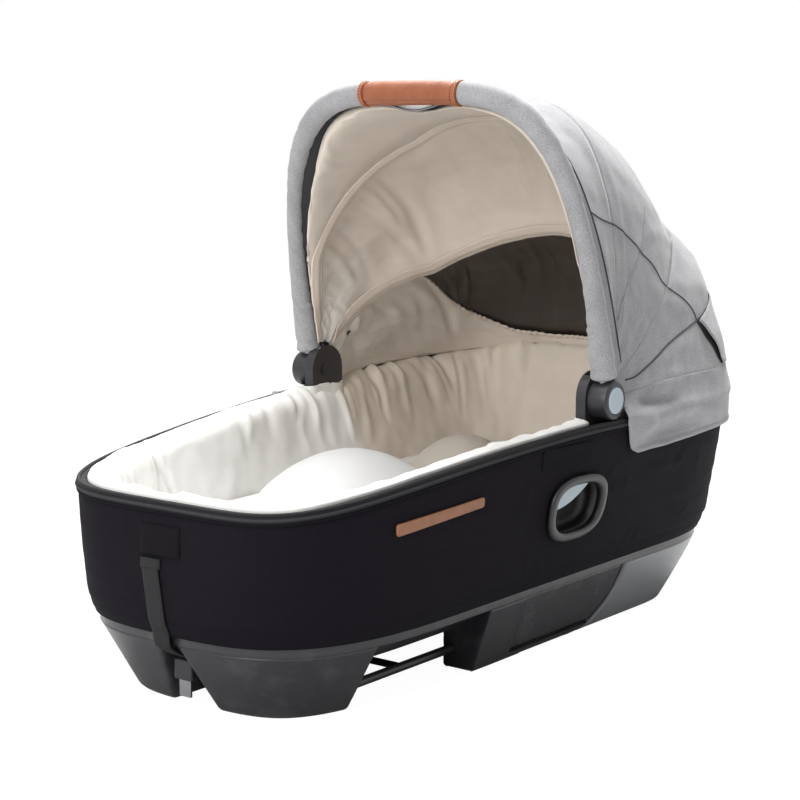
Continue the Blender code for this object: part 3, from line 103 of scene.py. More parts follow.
# A colour mix fed by sockets or plain colours
def mixColours(tree, share, first, second):
    node = tree.nodes.new("ShaderNodeMix")
    node.data_type = "RGBA"
    for slot, value in ((0, share), (6, first), (7, second)):
        if isinstance(value, bpy.types.NodeSocket):
            tree.links.new(value, node.inputs[slot])
        else:
            node.inputs[slot].default_value = value
    return node.outputs[2]


# Blender's own noise, from 0 to 1, at a place
def noise(tree, vector, scale, detail, rough):
    node = tree.nodes.new("ShaderNodeTexNoise")
    tree.links.new(vector, node.inputs["Vector"])
    node.inputs["Scale"].default_value = scale
    node.inputs["Detail"].default_value = detail
    node.inputs["Roughness"].default_value = rough
    return node.outputs["Fac"]


# 0 below low, 1 above high, a straight line between
def ramp(tree, value, low, high):
    node = tree.nodes.new("ShaderNodeMapRange")
    tree.links.new(value, node.inputs["Value"])
    node.inputs["From Min"].default_value = low
    node.inputs["From Max"].default_value = high
    return node.outputs["Result"]


# Plain weave: the product of two sine waves across the cloth's own UV, in threads per metre
def buildWeave():
    group, start, end = newGroup(
        "plainWeave",
        [("Threads", "Float", 900.0), ("Slub", "Float", 0.4)],
        [("Height", "Float"), ("Slubs", "Float")],
    )
    uv = group.nodes.new("ShaderNodeUVMap")
    parts = group.nodes.new("ShaderNodeSeparateXYZ")
    group.links.new(uv.outputs[0], parts.inputs[0])
    turns = mathNode(group, "MULTIPLY", start.outputs["Threads"], 2 * math.pi)
    warp = mathNode(group, "SINE", mathNode(group, "MULTIPLY", parts.outputs[0], turns))
    weft = mathNode(group, "SINE", mathNode(group, "MULTIPLY", parts.outputs[1], turns))
    checks = mathNode(group, "MULTIPLY", warp, weft)
    stretched = group.nodes.new("ShaderNodeMapping")
    stretched.inputs["Scale"].default_value = (1.0, 7.0, 1.0)
    group.links.new(uv.outputs[0], stretched.inputs["Vector"])
    slubs = noise(group, stretched.outputs[0], 160.0, 3.0, 0.6)
    weighted = mathNode(group, "MULTIPLY", slubs, start.outputs["Slub"])
    group.links.new(mathNode(group, "ADD", mathNode(group, "MULTIPLY", checks, 0.5), weighted),
                    end.inputs["Height"])
    group.links.new(slubs, end.inputs["Slubs"])
    return group


# Two-tone heather: fine streaks along and across the cloth, with a slow drift of tone over them
def buildMelange():
    group, start, end = newGroup(
        "melange",
        [("Light", "Color", (1, 1, 1, 1)), ("Dark", "Color", (0, 0, 0, 1)), ("Contrast", "Float", 1.0)],
        [("Color", "Color"), ("Height", "Float")],
    )
    uv = group.nodes.new("ShaderNodeUVMap")
    streaks = []
    for scale in ((420.0, 1500.0, 1.0), (1500.0, 420.0, 1.0)):
        mapping = group.nodes.new("ShaderNodeMapping")
        mapping.inputs["Scale"].default_value = scale
        group.links.new(uv.outputs[0], mapping.inputs["Vector"])
        streaks.append(noise(group, mapping.outputs[0], 1.0, 2.0, 0.6))
    both = mathNode(group, "MULTIPLY", mathNode(group, "ADD", streaks[0], streaks[1]), 0.5)
    drift = noise(group, uv.outputs[0], 38.0, 3.0, 0.6)
    cloudy = mathNode(group, "MULTIPLY", mathNode(group, "SUBTRACT", drift, 0.5), 0.8)
    tone = mathNode(group, "ADD", ramp(group, both, 0.36, 0.64), cloudy)
    spread = mathNode(group, "MULTIPLY", mathNode(group, "SUBTRACT", tone, 0.5), start.outputs["Contrast"])
    share = mathNode(group, "MAXIMUM", mathNode(group, "ADD", spread, 0.5), 0.0)
    share = mathNode(group, "MINIMUM", share, 1.0)
    group.links.new(mixColours(group, share, start.outputs["Dark"], start.outputs["Light"]),
                    end.inputs["Color"])
    group.links.new(both, end.inputs["Height"])
    return group


# Moulded plastic: fine spark grain, slow changes of gloss, and faint rubbed patches
def buildGrain():
    group, start, end = newGroup(
        "mouldGrain",
        [("Color", "Color", (0.5, 0.5, 0.5, 1)), ("Roughness", "Float", 0.5), ("Rub", "Float", 0.15)],
        [("Color", "Color"), ("Roughness", "Float"), ("Height", "Float")],
    )
    spot = group.nodes.new("ShaderNodeTexCoord").outputs["Object"]
    fine = noise(group, spot, 2600.0, 2.0, 0.7)
    slow = noise(group, spot, 26.0, 4.0, 0.6)
    rubbed = mathNode(group, "MULTIPLY", ramp(group, slow, 0.5, 0.85), start.outputs["Rub"])
    group.links.new(mixColours(group, rubbed, start.outputs["Color"], shade(170, 170, 172)),
                    end.inputs["Color"])
    shift = mathNode(group, "MULTIPLY", mathNode(group, "SUBTRACT", slow, 0.5), 0.25)
    group.links.new(mathNode(group, "ADD", start.outputs["Roughness"], shift), end.inputs["Roughness"])
    group.links.new(fine, end.inputs["Height"])
    return group


# Leather: pebbled cells with a drift of dye over them
def buildHide():
    group, start, end = newGroup(
        "leatherGrain",
        [("Color", "Color", (0.5, 0.3, 0.1, 1)), ("Deep", "Color", (0.2, 0.1, 0.05, 1))],
        [("Color", "Color"), ("Roughness", "Float"), ("Height", "Float")],
    )
    spot = group.nodes.new("ShaderNodeTexCoord").outputs["Object"]
    cells = group.nodes.new("ShaderNodeTexVoronoi")
    cells.feature = "DISTANCE_TO_EDGE"
    cells.inputs["Scale"].default_value = 900.0
    group.links.new(spot, cells.inputs["Vector"])
    pebble = ramp(group, cells.outputs["Distance"], 0.0, 0.12)
    dye = noise(group, spot, 70.0, 5.0, 0.65)
    share = mathNode(group, "MULTIPLY", mathNode(group, "SUBTRACT", 1.0, pebble), 0.35)
    share = mathNode(group, "ADD", share, mathNode(group, "MULTIPLY", ramp(group, dye, 0.35, 0.8), 0.45))
    group.links.new(mixColours(group, share, start.outputs["Color"], start.outputs["Deep"]),
                    end.inputs["Color"])
    group.links.new(mathNode(group, "ADD", mathNode(group, "MULTIPLY", dye, 0.25), 0.34),
                    end.inputs["Roughness"])
    group.links.new(pebble, end.inputs["Height"])
    return group


weaveGroup, melangeGroup, grainGroup, hideGroup = buildWeave(), buildMelange(), buildGrain(), buildHide()
finishes = {}


# A material with its Principled shader, kept under its name; constants go straight on its sockets
def baseMaterial(name, roughness, metallic=0.0, **constants):
    made = bpy.data.materials.new(name)
    made.use_nodes = True
    shader = made.node_tree.nodes["Principled BSDF"]
    shader.inputs["Roughness"].default_value = roughness
    shader.inputs["Metallic"].default_value = metallic
    for label, value in constants.items():
        shader.inputs[label.replace("_", " ")].default_value = value
    finishes[name] = made
    return made.node_tree, shader


def useGroup(tree, group, **values):
    node = tree.nodes.new("ShaderNodeGroup")
    node.node_tree = group
    for label, value in values.items():
        node.inputs[label].default_value = value
    return node


def bump(tree, shader, height, strength, distance):
    node = tree.nodes.new("ShaderNodeBump")
    node.inputs["Strength"].default_value = strength
    node.inputs["Distance"].default_value = distance
    tree.links.new(height, node.inputs["Height"])
    tree.links.new(node.outputs[0], shader.inputs["Normal"])


# Plain cloth: weave relief, slubs that change the colour a little
def wovenMaterial(name, colour, second, threads, slub, tone, roughness=0.85, strength=0.5, **constants):
    tree, shader = baseMaterial(name, roughness, **constants)
    weave = useGroup(tree, weaveGroup, Threads=threads, Slub=slub)
    share = mathNode(tree, "MULTIPLY", ramp(tree, weave.outputs["Slubs"], 0.3, 0.75), tone)
    tree.links.new(mixColours(tree, share, shade(*colour), shade(*second)), shader.inputs["Base Color"])
    bump(tree, shader, weave.outputs["Height"], strength, 0.0004)


def melangeMaterial(name, light, dark, contrast):
    tree, shader = baseMaterial(name, 0.92, Sheen_Weight=0.25, Sheen_Roughness=0.5)
    cloth = useGroup(tree, melangeGroup, Light=shade(*light), Dark=shade(*dark), Contrast=contrast)
    tree.links.new(cloth.outputs["Color"], shader.inputs["Base Color"])
    bump(tree, shader, cloth.outputs["Height"], 0.55, 0.0006)


def plasticMaterial(name, colour, roughness, rub=0.12, strength=0.25):
    tree, shader = baseMaterial(name, roughness)
    grain = useGroup(tree, grainGroup, Color=shade(*colour), Roughness=roughness, Rub=rub)
    tree.links.new(grain.outputs["Color"], shader.inputs["Base Color"])
    tree.links.new(grain.outputs["Roughness"], shader.inputs["Roughness"])
    bump(tree, shader, grain.outputs["Height"], strength, 0.0002)


def leatherMaterial(name, colour, deep):
    tree, shader = baseMaterial(name, 0.45)
    hide = useGroup(tree, hideGroup, Color=shade(*colour), Deep=shade(*deep))
    tree.links.new(hide.outputs["Color"], shader.inputs["Base Color"])
    tree.links.new(hide.outputs["Roughness"], shader.inputs["Roughness"])
    bump(tree, shader, hide.outputs["Height"], 0.35, 0.0003)


# Soft cotton that goes from pale at the foot to warm greige under the canopy, along X. The greige is partly
# the cloth's own tone and partly painted canopy shade
def liningMaterial(name, pale, warmShaded, fromX, toX, threads=1400.0, slope=0.0, shadeFromZ=None):
    tree, shader = baseMaterial(name, 0.8, Sheen_Weight=0.2, Sheen_Roughness=0.4)
    weave = useGroup(tree, weaveGroup, Threads=threads, Slub=0.3)
    spot = tree.nodes.new("ShaderNodeTexCoord").outputs["Object"]
    parts = tree.nodes.new("ShaderNodeSeparateXYZ")
    tree.links.new(spot, parts.inputs[0])
    along = mathNode(tree, "ADD", parts.outputs[0], mathNode(tree, "MULTIPLY", parts.outputs[2], slope))
    # partly painted shade: the ramp to greige runs where the canopy's shadow falls
    share = ramp(tree, along, fromX, toX)
    # Painted shade: above the given height the cloth turns greige as it rises, darkening the upper canopy
    # lining
    if shadeFromZ is not None:
        share = mathNode(tree, "MAXIMUM", share, ramp(tree, parts.outputs[2], shadeFromZ, shadeFromZ + 0.10))
    cloth = mixColours(tree, share, shade(*pale), shade(*warmShaded))
    drift = noise(tree, spot, 22.0, 3.0, 0.55)
    worn = mathNode(tree, "MULTIPLY", ramp(tree, drift, 0.4, 0.8), 0.12)
    toned = mixColours(tree, worn, cloth, shade(150, 142, 130))
    tree.links.new(toned, shader.inputs["Base Color"])
    bump(tree, shader, weave.outputs["Height"], 0.25, 0.0003)


# Knitted mesh: round holes in staggered rows, as the darker of two tones, with a silky sheen between them
def meshMaterial(name, pale, deep):
    tree, shader = baseMaterial(name, 0.30, Specular_IOR_Level=0.6)
    uv = tree.nodes.new("ShaderNodeUVMap")
    cells = tree.nodes.new("ShaderNodeTexVoronoi")
    cells.inputs["Scale"].default_value = 620.0
    cells.inputs["Randomness"].default_value = 0.15
    tree.links.new(uv.outputs[0], cells.inputs["Vector"])
    holes = ramp(tree, cells.outputs["Distance"], 0.25, 0.45)
    tree.links.new(mixColours(tree, holes, shade(*deep), shade(*pale)), shader.inputs["Base Color"])
    bump(tree, shader, holes, 0.5, 0.0004)


def steelMaterial(name, colour, roughness):
    tree, shader = baseMaterial(name, roughness, 1.0)
    spot = tree.nodes.new("ShaderNodeTexCoord").outputs["Object"]
    brushed = tree.nodes.new("ShaderNodeMapping")
    brushed.inputs["Scale"].default_value = (1.0, 1.0, 12.0)
    tree.links.new(spot, brushed.inputs["Vector"])
    lines = noise(tree, brushed.outputs[0], 900.0, 2.0, 0.5)
    toned = mixColours(tree, mathNode(tree, "MULTIPLY", lines, 0.3), shade(*colour), shade(90, 90, 92))
    tree.links.new(toned, shader.inputs["Base Color"])
    bump(tree, shader, lines, 0.1, 0.0001)


plasticMaterial("basePlastic", (42, 42, 46), 0.34)
# The head block's light grey is partly its own plastic and partly painted reflection of the white floor
plasticMaterial("headPlastic", (132, 134, 136), 0.32)
plasticMaterial("panelPlastic", (52, 51, 55), 0.26)
plasticMaterial("darkPlastic", (40, 38, 42), 0.40, 0.06)
plasticMaterial("cupPlastic", (9, 9, 11), 0.45, 0.05)
plasticMaterial("bezelPlastic", (32, 31, 34), 0.36, 0.1)
plasticMaterial("buttonPlastic", (176, 190, 198), 0.42, 0.0, 0.1)
wovenMaterial("sideCloth", (17, 14, 20), (25, 22, 29), 760.0, 0.5, 0.6, 0.85, 0.5, Specular_IOR_Level=0.12)
wovenMaterial("patchCloth", (17, 14, 19), (10, 8, 12), 520.0, 0.8, 0.8, 0.9, 0.9, Specular_IOR_Level=0.15)
wovenMaterial("zipTape", (20, 19, 23), (30, 29, 33), 1100.0, 0.2, 0.5, 0.6, 0.5, Specular_IOR_Level=0.25)
wovenMaterial("strapCloth", (20, 19, 22), (30, 29, 32), 620.0, 0.2, 0.5, 0.6, 0.9, Specular_IOR_Level=0.3)
melangeMaterial("canopyCloth", (178, 178, 180), (126, 126, 129), 0.95)
wovenMaterial("pipingCloth", (70, 71, 76), (54, 55, 60), 1300.0, 0.2, 0.5, 0.8, 0.6)
melangeMaterial("tonalCloth", (158, 159, 163), (120, 121, 126), 1.0)
wovenMaterial("bindingCloth", (52, 52, 54), (70, 70, 72), 900.0, 0.3, 0.5, 0.8, 0.5, Specular_IOR_Level=0.2)
# The greige head ends of both linings are partly the cloth's own tone and partly painted canopy shade
liningMaterial("cotLining", (250, 249, 245), (222, 211, 197), 0.150, 0.162, slope=0.33)
# the canopy lining's upper part turns greige from a height of 0.335 upwards as painted shade
liningMaterial("canopyLining", (243, 240, 233), (216, 205, 193), 0.055, 0.12, shadeFromZ=0.335)
liningMaterial("bandCloth", (214, 200, 187), (214, 201, 189), 0.0, 0.3)
meshMaterial("meshCloth", (62, 54, 47), (34, 29, 25))
wovenMaterial("padCloth", (226, 226, 226), (220, 219, 218), 1100.0, 0.15, 0.5, 0.85, 0.2)
# The head pad's greige is partly its own cloth and partly painted canopy shade; the body pad beside it is
# white
wovenMaterial("headPadCloth", (178, 170, 160), (170, 161, 151), 1100.0, 0.15, 0.5, 0.85, 0.2)
leatherMaterial("tanLeather", (158, 90, 56), (104, 56, 32))
leatherMaterial("tabLeather", (160, 108, 76), (106, 68, 48))
wovenMaterial("stitchThread", (206, 150, 108), (190, 130, 92), 900.0, 0.2, 0.5, 0.7, 0.4)
wovenMaterial("paleThread", (226, 220, 210), (208, 201, 190), 900.0, 0.2, 0.5, 0.7, 0.4)
steelMaterial("satinSteel", (168, 168, 170), 0.3)
print("finishes made")


# Surface helpers

# A mesh from a grid of points, rows by columns. Its UV is the distance along rows and columns, in metres
def gridMesh(name, points, loopRows=False, loopCols=False, caps=False, flip=False):
    rows, cols = points.shape[:2]
    index = np.arange(rows * cols).reshape(rows, cols)
    wide = points
    if loopRows:
        index, wide = np.vstack([index, index[:1]]), np.concatenate([wide, wide[:1]], 0)
    if loopCols:
        index, wide = np.hstack([index, index[:, :1]]), np.concatenate([wide, wide[:, :1]], 1)
    faces = np.stack([index[:-1, :-1], index[:-1, 1:], index[1:, 1:], index[1:, :-1]], -1).reshape(-1, 4)
    down = np.zeros(wide.shape[:2])
    down[1:] = np.cumsum(np.linalg.norm(np.diff(wide, axis=0), axis=2), 0)
    over = np.zeros(wide.shape[:2])
    over[:, 1:] = np.cumsum(np.linalg.norm(np.diff(wide, axis=1), axis=2), 1)
    uv = np.stack([over, down], -1)
    corners = np.stack([uv[:-1, :-1], uv[:-1, 1:], uv[1:, 1:], uv[1:, :-1]], 2).reshape(-1, 4, 2)
    if flip:
        faces, corners = faces[:, ::-1], corners[:, ::-1]
    allFaces, flat = faces.tolist(), corners.reshape(-1, 2)
    if caps:
        ends = [index[0, :cols][::-1].tolist(), index[-1, :cols].tolist()]
        ends = [end[::-1] for end in ends] if flip else ends
        allFaces += ends
        flat = np.concatenate([flat, np.zeros((2 * cols, 2))])
    mesh = bpy.data.meshes.new(name)
    mesh.from_pydata(points.reshape(-1, 3).tolist(), [], allFaces)
    layer = mesh.uv_layers.new(name="cloth")
    layer.data.foreach_set("uv", flat.astype(np.float32).ravel())
    mesh.shade_smooth()
    return mesh


# Puts a finished mesh in the scene, on its body or bent between two bodies. rows is the share of the second
# body that each grid row follows
def place(name, mesh, finish, body, slot, replaced=(), thick=0.0, sharp=None, rows=None):
    thing = bpy.data.objects.new(name, mesh)
    bpy.context.scene.collection.objects.link(thing)
    mesh.materials.append(finishes[finish])
    if sharp is not None:
        mesh.set_sharp_from_angle(angle=math.radians(sharp))
    if isinstance(body, tuple):
        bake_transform(thing, *body, start=(hingeX - 0.1, 0, hingeZ), end=(hingeX + 0.3, 0, hingeZ))
        shares = np.repeat(rows, len(mesh.vertices) // len(rows)).astype(np.float32)
        mesh.attributes["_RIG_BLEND"].data.foreach_set("value", shares)  # by the turn about the hinge
    else:
        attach(thing, body)
    if thick:
        wall = thing.modifiers.new("thickness", "SOLIDIFY")
        wall.thickness = thick
        wall.offset = -1
    if replaced:
        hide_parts(*replaced)
    return thing


# A mesh's surface in square metres
def measured(mesh):
    areas = np.zeros(len(mesh.polygons), np.float32)
    mesh.polygons.foreach_get("area", areas)
    return float(areas.sum())


# Measures a piece's surface; the number is not kept
def asSheet(thing):
    measured(thing.data)


# Closes one ring of a grid, a slice of its points, with a single face; turned reverses the face
def closeRing(mesh, ring, turned):
    work = bmesh.new()
    work.from_mesh(mesh)
    corners = list(work.verts)[ring]
    work.faces.new(corners[::-1] if turned else corners)
    work.to_mesh(mesh)
    work.free()


# Vectors brought to a length of 1
def unit(vectors):
    return vectors / np.linalg.norm(vectors, axis=-1, keepdims=True)


# 1 at one place, fading on both sides like a bell: e to the minus square of the distance over the width
def bell(x, at, width):
    return np.exp(-((x - at) / width) ** 2)


# The distance gone along a path at each of its points
def lengthAlong(path):
    return np.concatenate([[0], np.cumsum(np.linalg.norm(np.diff(path, axis=0), axis=1))])


# Unit normals of a grid: the cross product of its two directions
def normalsOf(points, loopRows=False):
    down = np.roll(points, -1, 0) - np.roll(points, 1, 0) if loopRows else np.gradient(points, axis=0)
    normal = np.cross(np.gradient(points, axis=1), down)
    return normal / np.maximum(np.linalg.norm(normal, axis=-1, keepdims=True), 1e-12)


# Smooth seeded unevenness from -1 to 1: many sine waves of random direction added up
def softNoise(a, b, seed, wavelength, waves=14):
    draw = np.random.default_rng(seed)
    total = np.zeros(np.broadcast(a, b).shape)
    for _ in range(waves):
        turn, phase, size = draw.uniform(0, 2 * np.pi), draw.uniform(0, 2 * np.pi), draw.uniform(0.6, 1.7)
        total = total + np.sin((a * np.cos(turn) + b * np.sin(turn)) * 2 * np.pi / (wavelength * size)
                               + phase)
    return total / waves * 1.8


# Folds along straight lines over the cloth: each is a bell across the line with a shallow trough at both
# sides, faded at its ends. A line is (a start, b start, a end, b end, height, width)
def creases(a, b, lines):
    total = np.zeros(np.broadcast(a, b).shape)
    for a0, b0, a1, b1, height, width in lines:
        da, db = a1 - a0, b1 - b0
        along = np.clip(((a - a0) * da + (b - b0) * db) / (da * da + db * db), 0, 1)
        away = np.hypot(a - a0 - along * da, b - b0 - along * db) / width
        fade = np.sin(np.pi * np.clip(along, 0.02, 0.98)) ** 0.6
        total = total + height * (bell(away, 0, 1) - 0.45 * bell(away, 0, 2.2)) * fade
    return total


# A smooth line through knots: a cubic with each knot's slope taken from its neighbours
def smoothLine(knots, count):
    knots = np.array(knots, float)
    steps = np.arange(len(knots))
    slope = np.gradient(knots, axis=0)
    wanted = np.linspace(0, len(knots) - 1, count)
    low = np.minimum(wanted.astype(int), len(knots) - 2)
    t = (wanted - steps[low])[:, None]
    start = knots[low] * (1 + 2 * t) * (1 - t) ** 2 + slope[low] * t * (1 - t) ** 2
    return start + knots[low + 1] * t * t * (3 - 2 * t) - slope[low + 1] * t * t * (1 - t)


# Points spaced evenly along a line in any number of dimensions
def evenLine(points, count):
    points = np.asarray(points, float)
    steps = lengthAlong(points)
    wanted = np.linspace(0, steps[-1], count)
    return np.stack([np.interp(wanted, steps, points[:, k]) for k in range(points.shape[1])], 1)


# Rings round a path: each is a circle in the path's up direction and the direction across it
def tubePoints(path, up, radius, sides):
    along = unit(np.gradient(path, axis=0))
    up = unit(up - along * (up * along).sum(1, keepdims=True))
    across = np.cross(along, up)
    turn = np.linspace(0, 2 * np.pi, sides, endpoint=False)
    cosine, sine = np.cos(turn)[None, :, None], np.sin(turn)[None, :, None]
    radius = np.broadcast_to(radius, len(path))[:, None, None]
    return path[:, None] + up[:, None] * radius * cosine + across[:, None] * radius * sine


# A row of stitches: short six-sided beads along a path, sunk halfway into the cloth
def stitchMesh(name, path, up, pitch, length, radius):
    steps = lengthAlong(path)
    count = max(int(steps[-1] / pitch), 1)
    starts = (np.arange(count) + 0.5) * steps[-1] / count
    reach = np.array([-0.5, -0.3, 0.3, 0.5]) * length
    size = np.array([0.35, 1.0, 1.0, 0.35]) * radius
    wanted = starts[:, None] + reach[None]
    spots = np.stack([np.interp(wanted, steps, path[:, k]) for k in range(3)], -1)
    lift = np.stack([np.interp(wanted, steps, up[:, k]) for k in range(3)], -1)
    along = unit(spots[:, -1] - spots[:, 0])
    lift = unit(lift - along[:, None] * (lift * along[:, None]).sum(-1, keepdims=True))
    across = np.cross(along[:, None], lift)
    turn = np.arange(6) * np.pi / 3
    cosine, sine = np.cos(turn)[:, None], np.sin(turn)[:, None]
    rings = lift[:, :, None] * cosine + across[:, :, None] * sine
    rings = spots[:, :, None] + rings * size[None, :, None, None]
    index = np.arange(rings.shape[0] * 24).reshape(-1, 4, 6)
    following = np.roll(index, -1, 2)
    quads = np.stack([index[:, :-1], following[:, :-1], following[:, 1:], index[:, 1:]], -1)
    ends = [row[::-1].tolist() for row in index[:, 0]] + [row.tolist() for row in index[:, -1]]
    mesh = bpy.data.meshes.new(name)
    mesh.from_pydata(rings.reshape(-1, 3).tolist(), [], quads.reshape(-1, 4).tolist() + ends)
    mesh.uv_layers.new(name="cloth")
    mesh.shade_smooth()
    return mesh


# The cot's side as a surface of station, height and distance out
# Half a plan outline from foot middle to head middle: a superellipse at each end and, between them, a half
# width that grows in a straight line to just past the hinge
def planHalf(startX, endX, startHalf, endHalf, startPower, endPower, steps=600):
    quarter = np.linspace(0, np.pi / 2, steps)
    shrink, grow = np.clip(np.cos(quarter), 0, 1), np.clip(np.sin(quarter), 0, 1)
    foot = startX + cot["footRun"] * (1 - shrink ** (2 / startPower))
    head = (endX - cot["headRun"] * (1 - shrink ** (2 / endPower)))[::-1]
    middle = np.linspace(foot[-1], head[0], steps)[1:-1]
    x = np.concatenate([foot, middle, head])
    share = np.concatenate([grow ** (2 / startPower), np.ones(len(middle)), (grow ** (2 / endPower))[::-1]])
    taper = np.clip((x - startX) / (hingeX + cot["taperAfterHinge"] - startX), 0, 1)
    return np.stack([x, share * (startHalf + (endHalf - startHalf) * taper)], 1)


stationCount = 560
halfCount = stationCount // 2


# The rim's and the base's plan lines, with stations spaced evenly round the rim
def bothLines():
    rim = planHalf(footX + cot["bulge"], headX - cot["skirtProud"], cot["rimFootHalf"], cot["rimHeadHalf"],
                   cot["rimFootPower"], cot["headPower"])
    base = planHalf(footX + cot["baseFootGap"], headX - cot["baseHeadGap"], cot["baseHalf"], cot["baseHalf"],
                    cot["baseFootPower"], cot["headPower"])
    half = evenLine(np.concatenate([rim, base], 1), halfCount + 1)
    whole = np.concatenate([half, (half * (1, -1, 1, -1))[-2:0:-1]])
    outs = []
    for line in (whole[:, :2], whole[:, 2:]):
        along = np.roll(line, -1, 0) - np.roll(line, 1, 0)
        outs.append(unit(np.stack([-along[:, 1], along[:, 0]], 1)))
    return whole[:, :2], whole[:, 2:], unit(outs[0] + outs[1]), outs[1]


rimLine, baseLine, sideOut, baseOut = bothLines()


# The rim rises in a slowing curve from foot to hinge, then gently on to the head
def rimHeight(x):
    share = np.clip((x - footX) / (hingeX - footX), 0, 1)
    rise = cot["rimFootZ"] + (cot["rimHingeZ"] - cot["rimFootZ"]) * (1 - (1 - share) ** cot["rimSweep"])
    return rise + (cot["rimHeadZ"] - cot["rimHingeZ"]) * np.clip((x - hingeX) / (headX - hingeX), 0, 1)


rimZ = rimHeight(rimLine[:, 0])
stationStep = float(np.linalg.norm(np.diff(rimLine, axis=0), axis=1).mean())


def rimAt(u):
    return np.interp(np.asarray(u) % stationCount, np.arange(stationCount + 1), np.append(rimZ, rimZ[0]))


# Straight from base line to rim line at each station, plus a swell that is widest low down, plus out
def sidePoint(u, z, out):
    u, z, out = np.broadcast_arrays(np.asarray(u, float) % stationCount, z, out)
    low = np.floor(u).astype(int) % stationCount
    part = (u - np.floor(u))[..., None]

    def spot(i):
        share = (z - baseZ) / (rimZ[i] - baseZ)
        kept = np.clip(share, 0, 1)
        swell = (1 - kept) * np.minimum(1, kept / 0.1) + kept * (1 - kept) * 2
        straight = baseLine[i] + (rimLine[i] - baseLine[i]) * share[..., None]
        return straight + sideOut[i] * (cot["bulge"] * swell + out)[..., None]

    flat = spot(low) * (1 - part) + spot((low + 1) % stationCount) * part
    return np.concatenate([flat, z[..., None]], -1)


# The station where one side passes x at height z, found by halving
def stationAt(x, side, z):
    x, z = np.broadcast_arrays(np.asarray(x, float), z)
    low, high = np.zeros(x.shape), np.full(x.shape, float(halfCount))
    for _ in range(40):
        middle = (low + high) / 2
        short = sidePoint(middle, z, 0)[..., 0] < x
        low, high = np.where(short, middle, low), np.where(short, high, middle)
    return low if side > 0 else stationCount - low


def onSide(x, z, out, side):
    return sidePoint(stationAt(x, side, z), z, out)


# The point of the foot end at a sideways place y
def footPoint(y, z, out):
    y, z, out = np.broadcast_arrays(np.asarray(y, float), z, out)
    low, high = np.full(y.shape, -halfCount / 3), np.full(y.shape, halfCount / 3)
    for _ in range(40):
        middle = (low + high) / 2
        short = sidePoint(middle, z, 0)[..., 1] < y
        low, high = np.where(short, middle, low), np.where(short, high, middle)
    return sidePoint(low, z, out)


# A closed profile of (out, height over the rim) carried round the rim
def rimSweep(name, profile, finish, slot, replaced=()):
    u = np.arange(stationCount)
    out, lift = np.array(profile).T
    points = sidePoint(u[:, None], rimAt(u)[:, None] + lift[None], out[None])
    mesh = gridMesh(name, points, loopRows=True, loopCols=True)
    place(name, mesh, finish, "cot", slot, replaced)


def roundProfile(out, lift, radius, sides=10):
    turn = np.linspace(0, 2 * np.pi, sides, endpoint=False)
    return [(out + radius * math.cos(t), lift + radius * math.sin(t)) for t in turn]


# Handle openings
handle = dict(
    x=hingeX - 0.0494, z=0.1720, bezelHalfX=0.0535, bezelHalfZ=0.0378, mouthHalfX=0.0425, mouthHalfZ=0.0275,
    power=2.7, seat=0.0034, rise=0.0040, depth=0.0230, wall=0.0012, points=96, openShare=1.16,
    sunk=0.001,
    # over the bezel from its outer edge: share of its width, share of its rise
    bezel=((1.0, 0.25), (0.97, 0.55), (0.88, 0.85), (0.74, 1), (0.5, 1.02), (0.28, 1), (0.12, 0.82),
           (0.03, 0.5), (0.0, 0.1)),
    # down the cup: in from the mouth, share of the depth
    cup=((0, 0.55), (0.001, 0.75), (0.004, 0.9), (0.010, 0.965), (0.018, 0.99)),
)


# A superellipse in x and z round the handle's middle
def ovalLine(halfX, halfZ, count=handle["points"]):
    turn = 2 * np.pi * np.arange(count) / count
    c, s = np.cos(turn), np.sin(turn)
    power = 2 / handle["power"]
    x = handle["x"] + halfX * np.sign(c) * np.abs(c) ** power
    return x, handle["z"] + halfZ * np.sign(s) * np.abs(s) ** power


# 1 on the mouth's edge, larger outside it
def ovalShare(x, z):
    power = handle["power"]
    across = np.abs((x - handle["x"]) / handle["mouthHalfX"])
    up = np.abs((z - handle["z"]) / handle["mouthHalfZ"])
    return (across ** power + up ** power) ** (1 / power)


# Fabric side
cover = dict(
    hemDrop=0.0030, bandDrop=0.0100, rows=72, thick=0.0020, flatSize=(2.30, 0.19),
    ripple=0.0009, rippleWave=0.085, foldCount=70, foldTops=(0.21, 0.13), foldHeight=(0.02, 0.05),
    foldLean=0.03, foldRise=(0.0004, 0.0011), foldWidth=(0.004, 0.009),
    hemRise=0.0011, hemAt=0.0035, hemWidth=0.0045, seamDepth=0.0009, seamAt=0.0125, seamWidth=0.0016,
    tuckDepth=0.0012, tuckWidth=0.003,
)


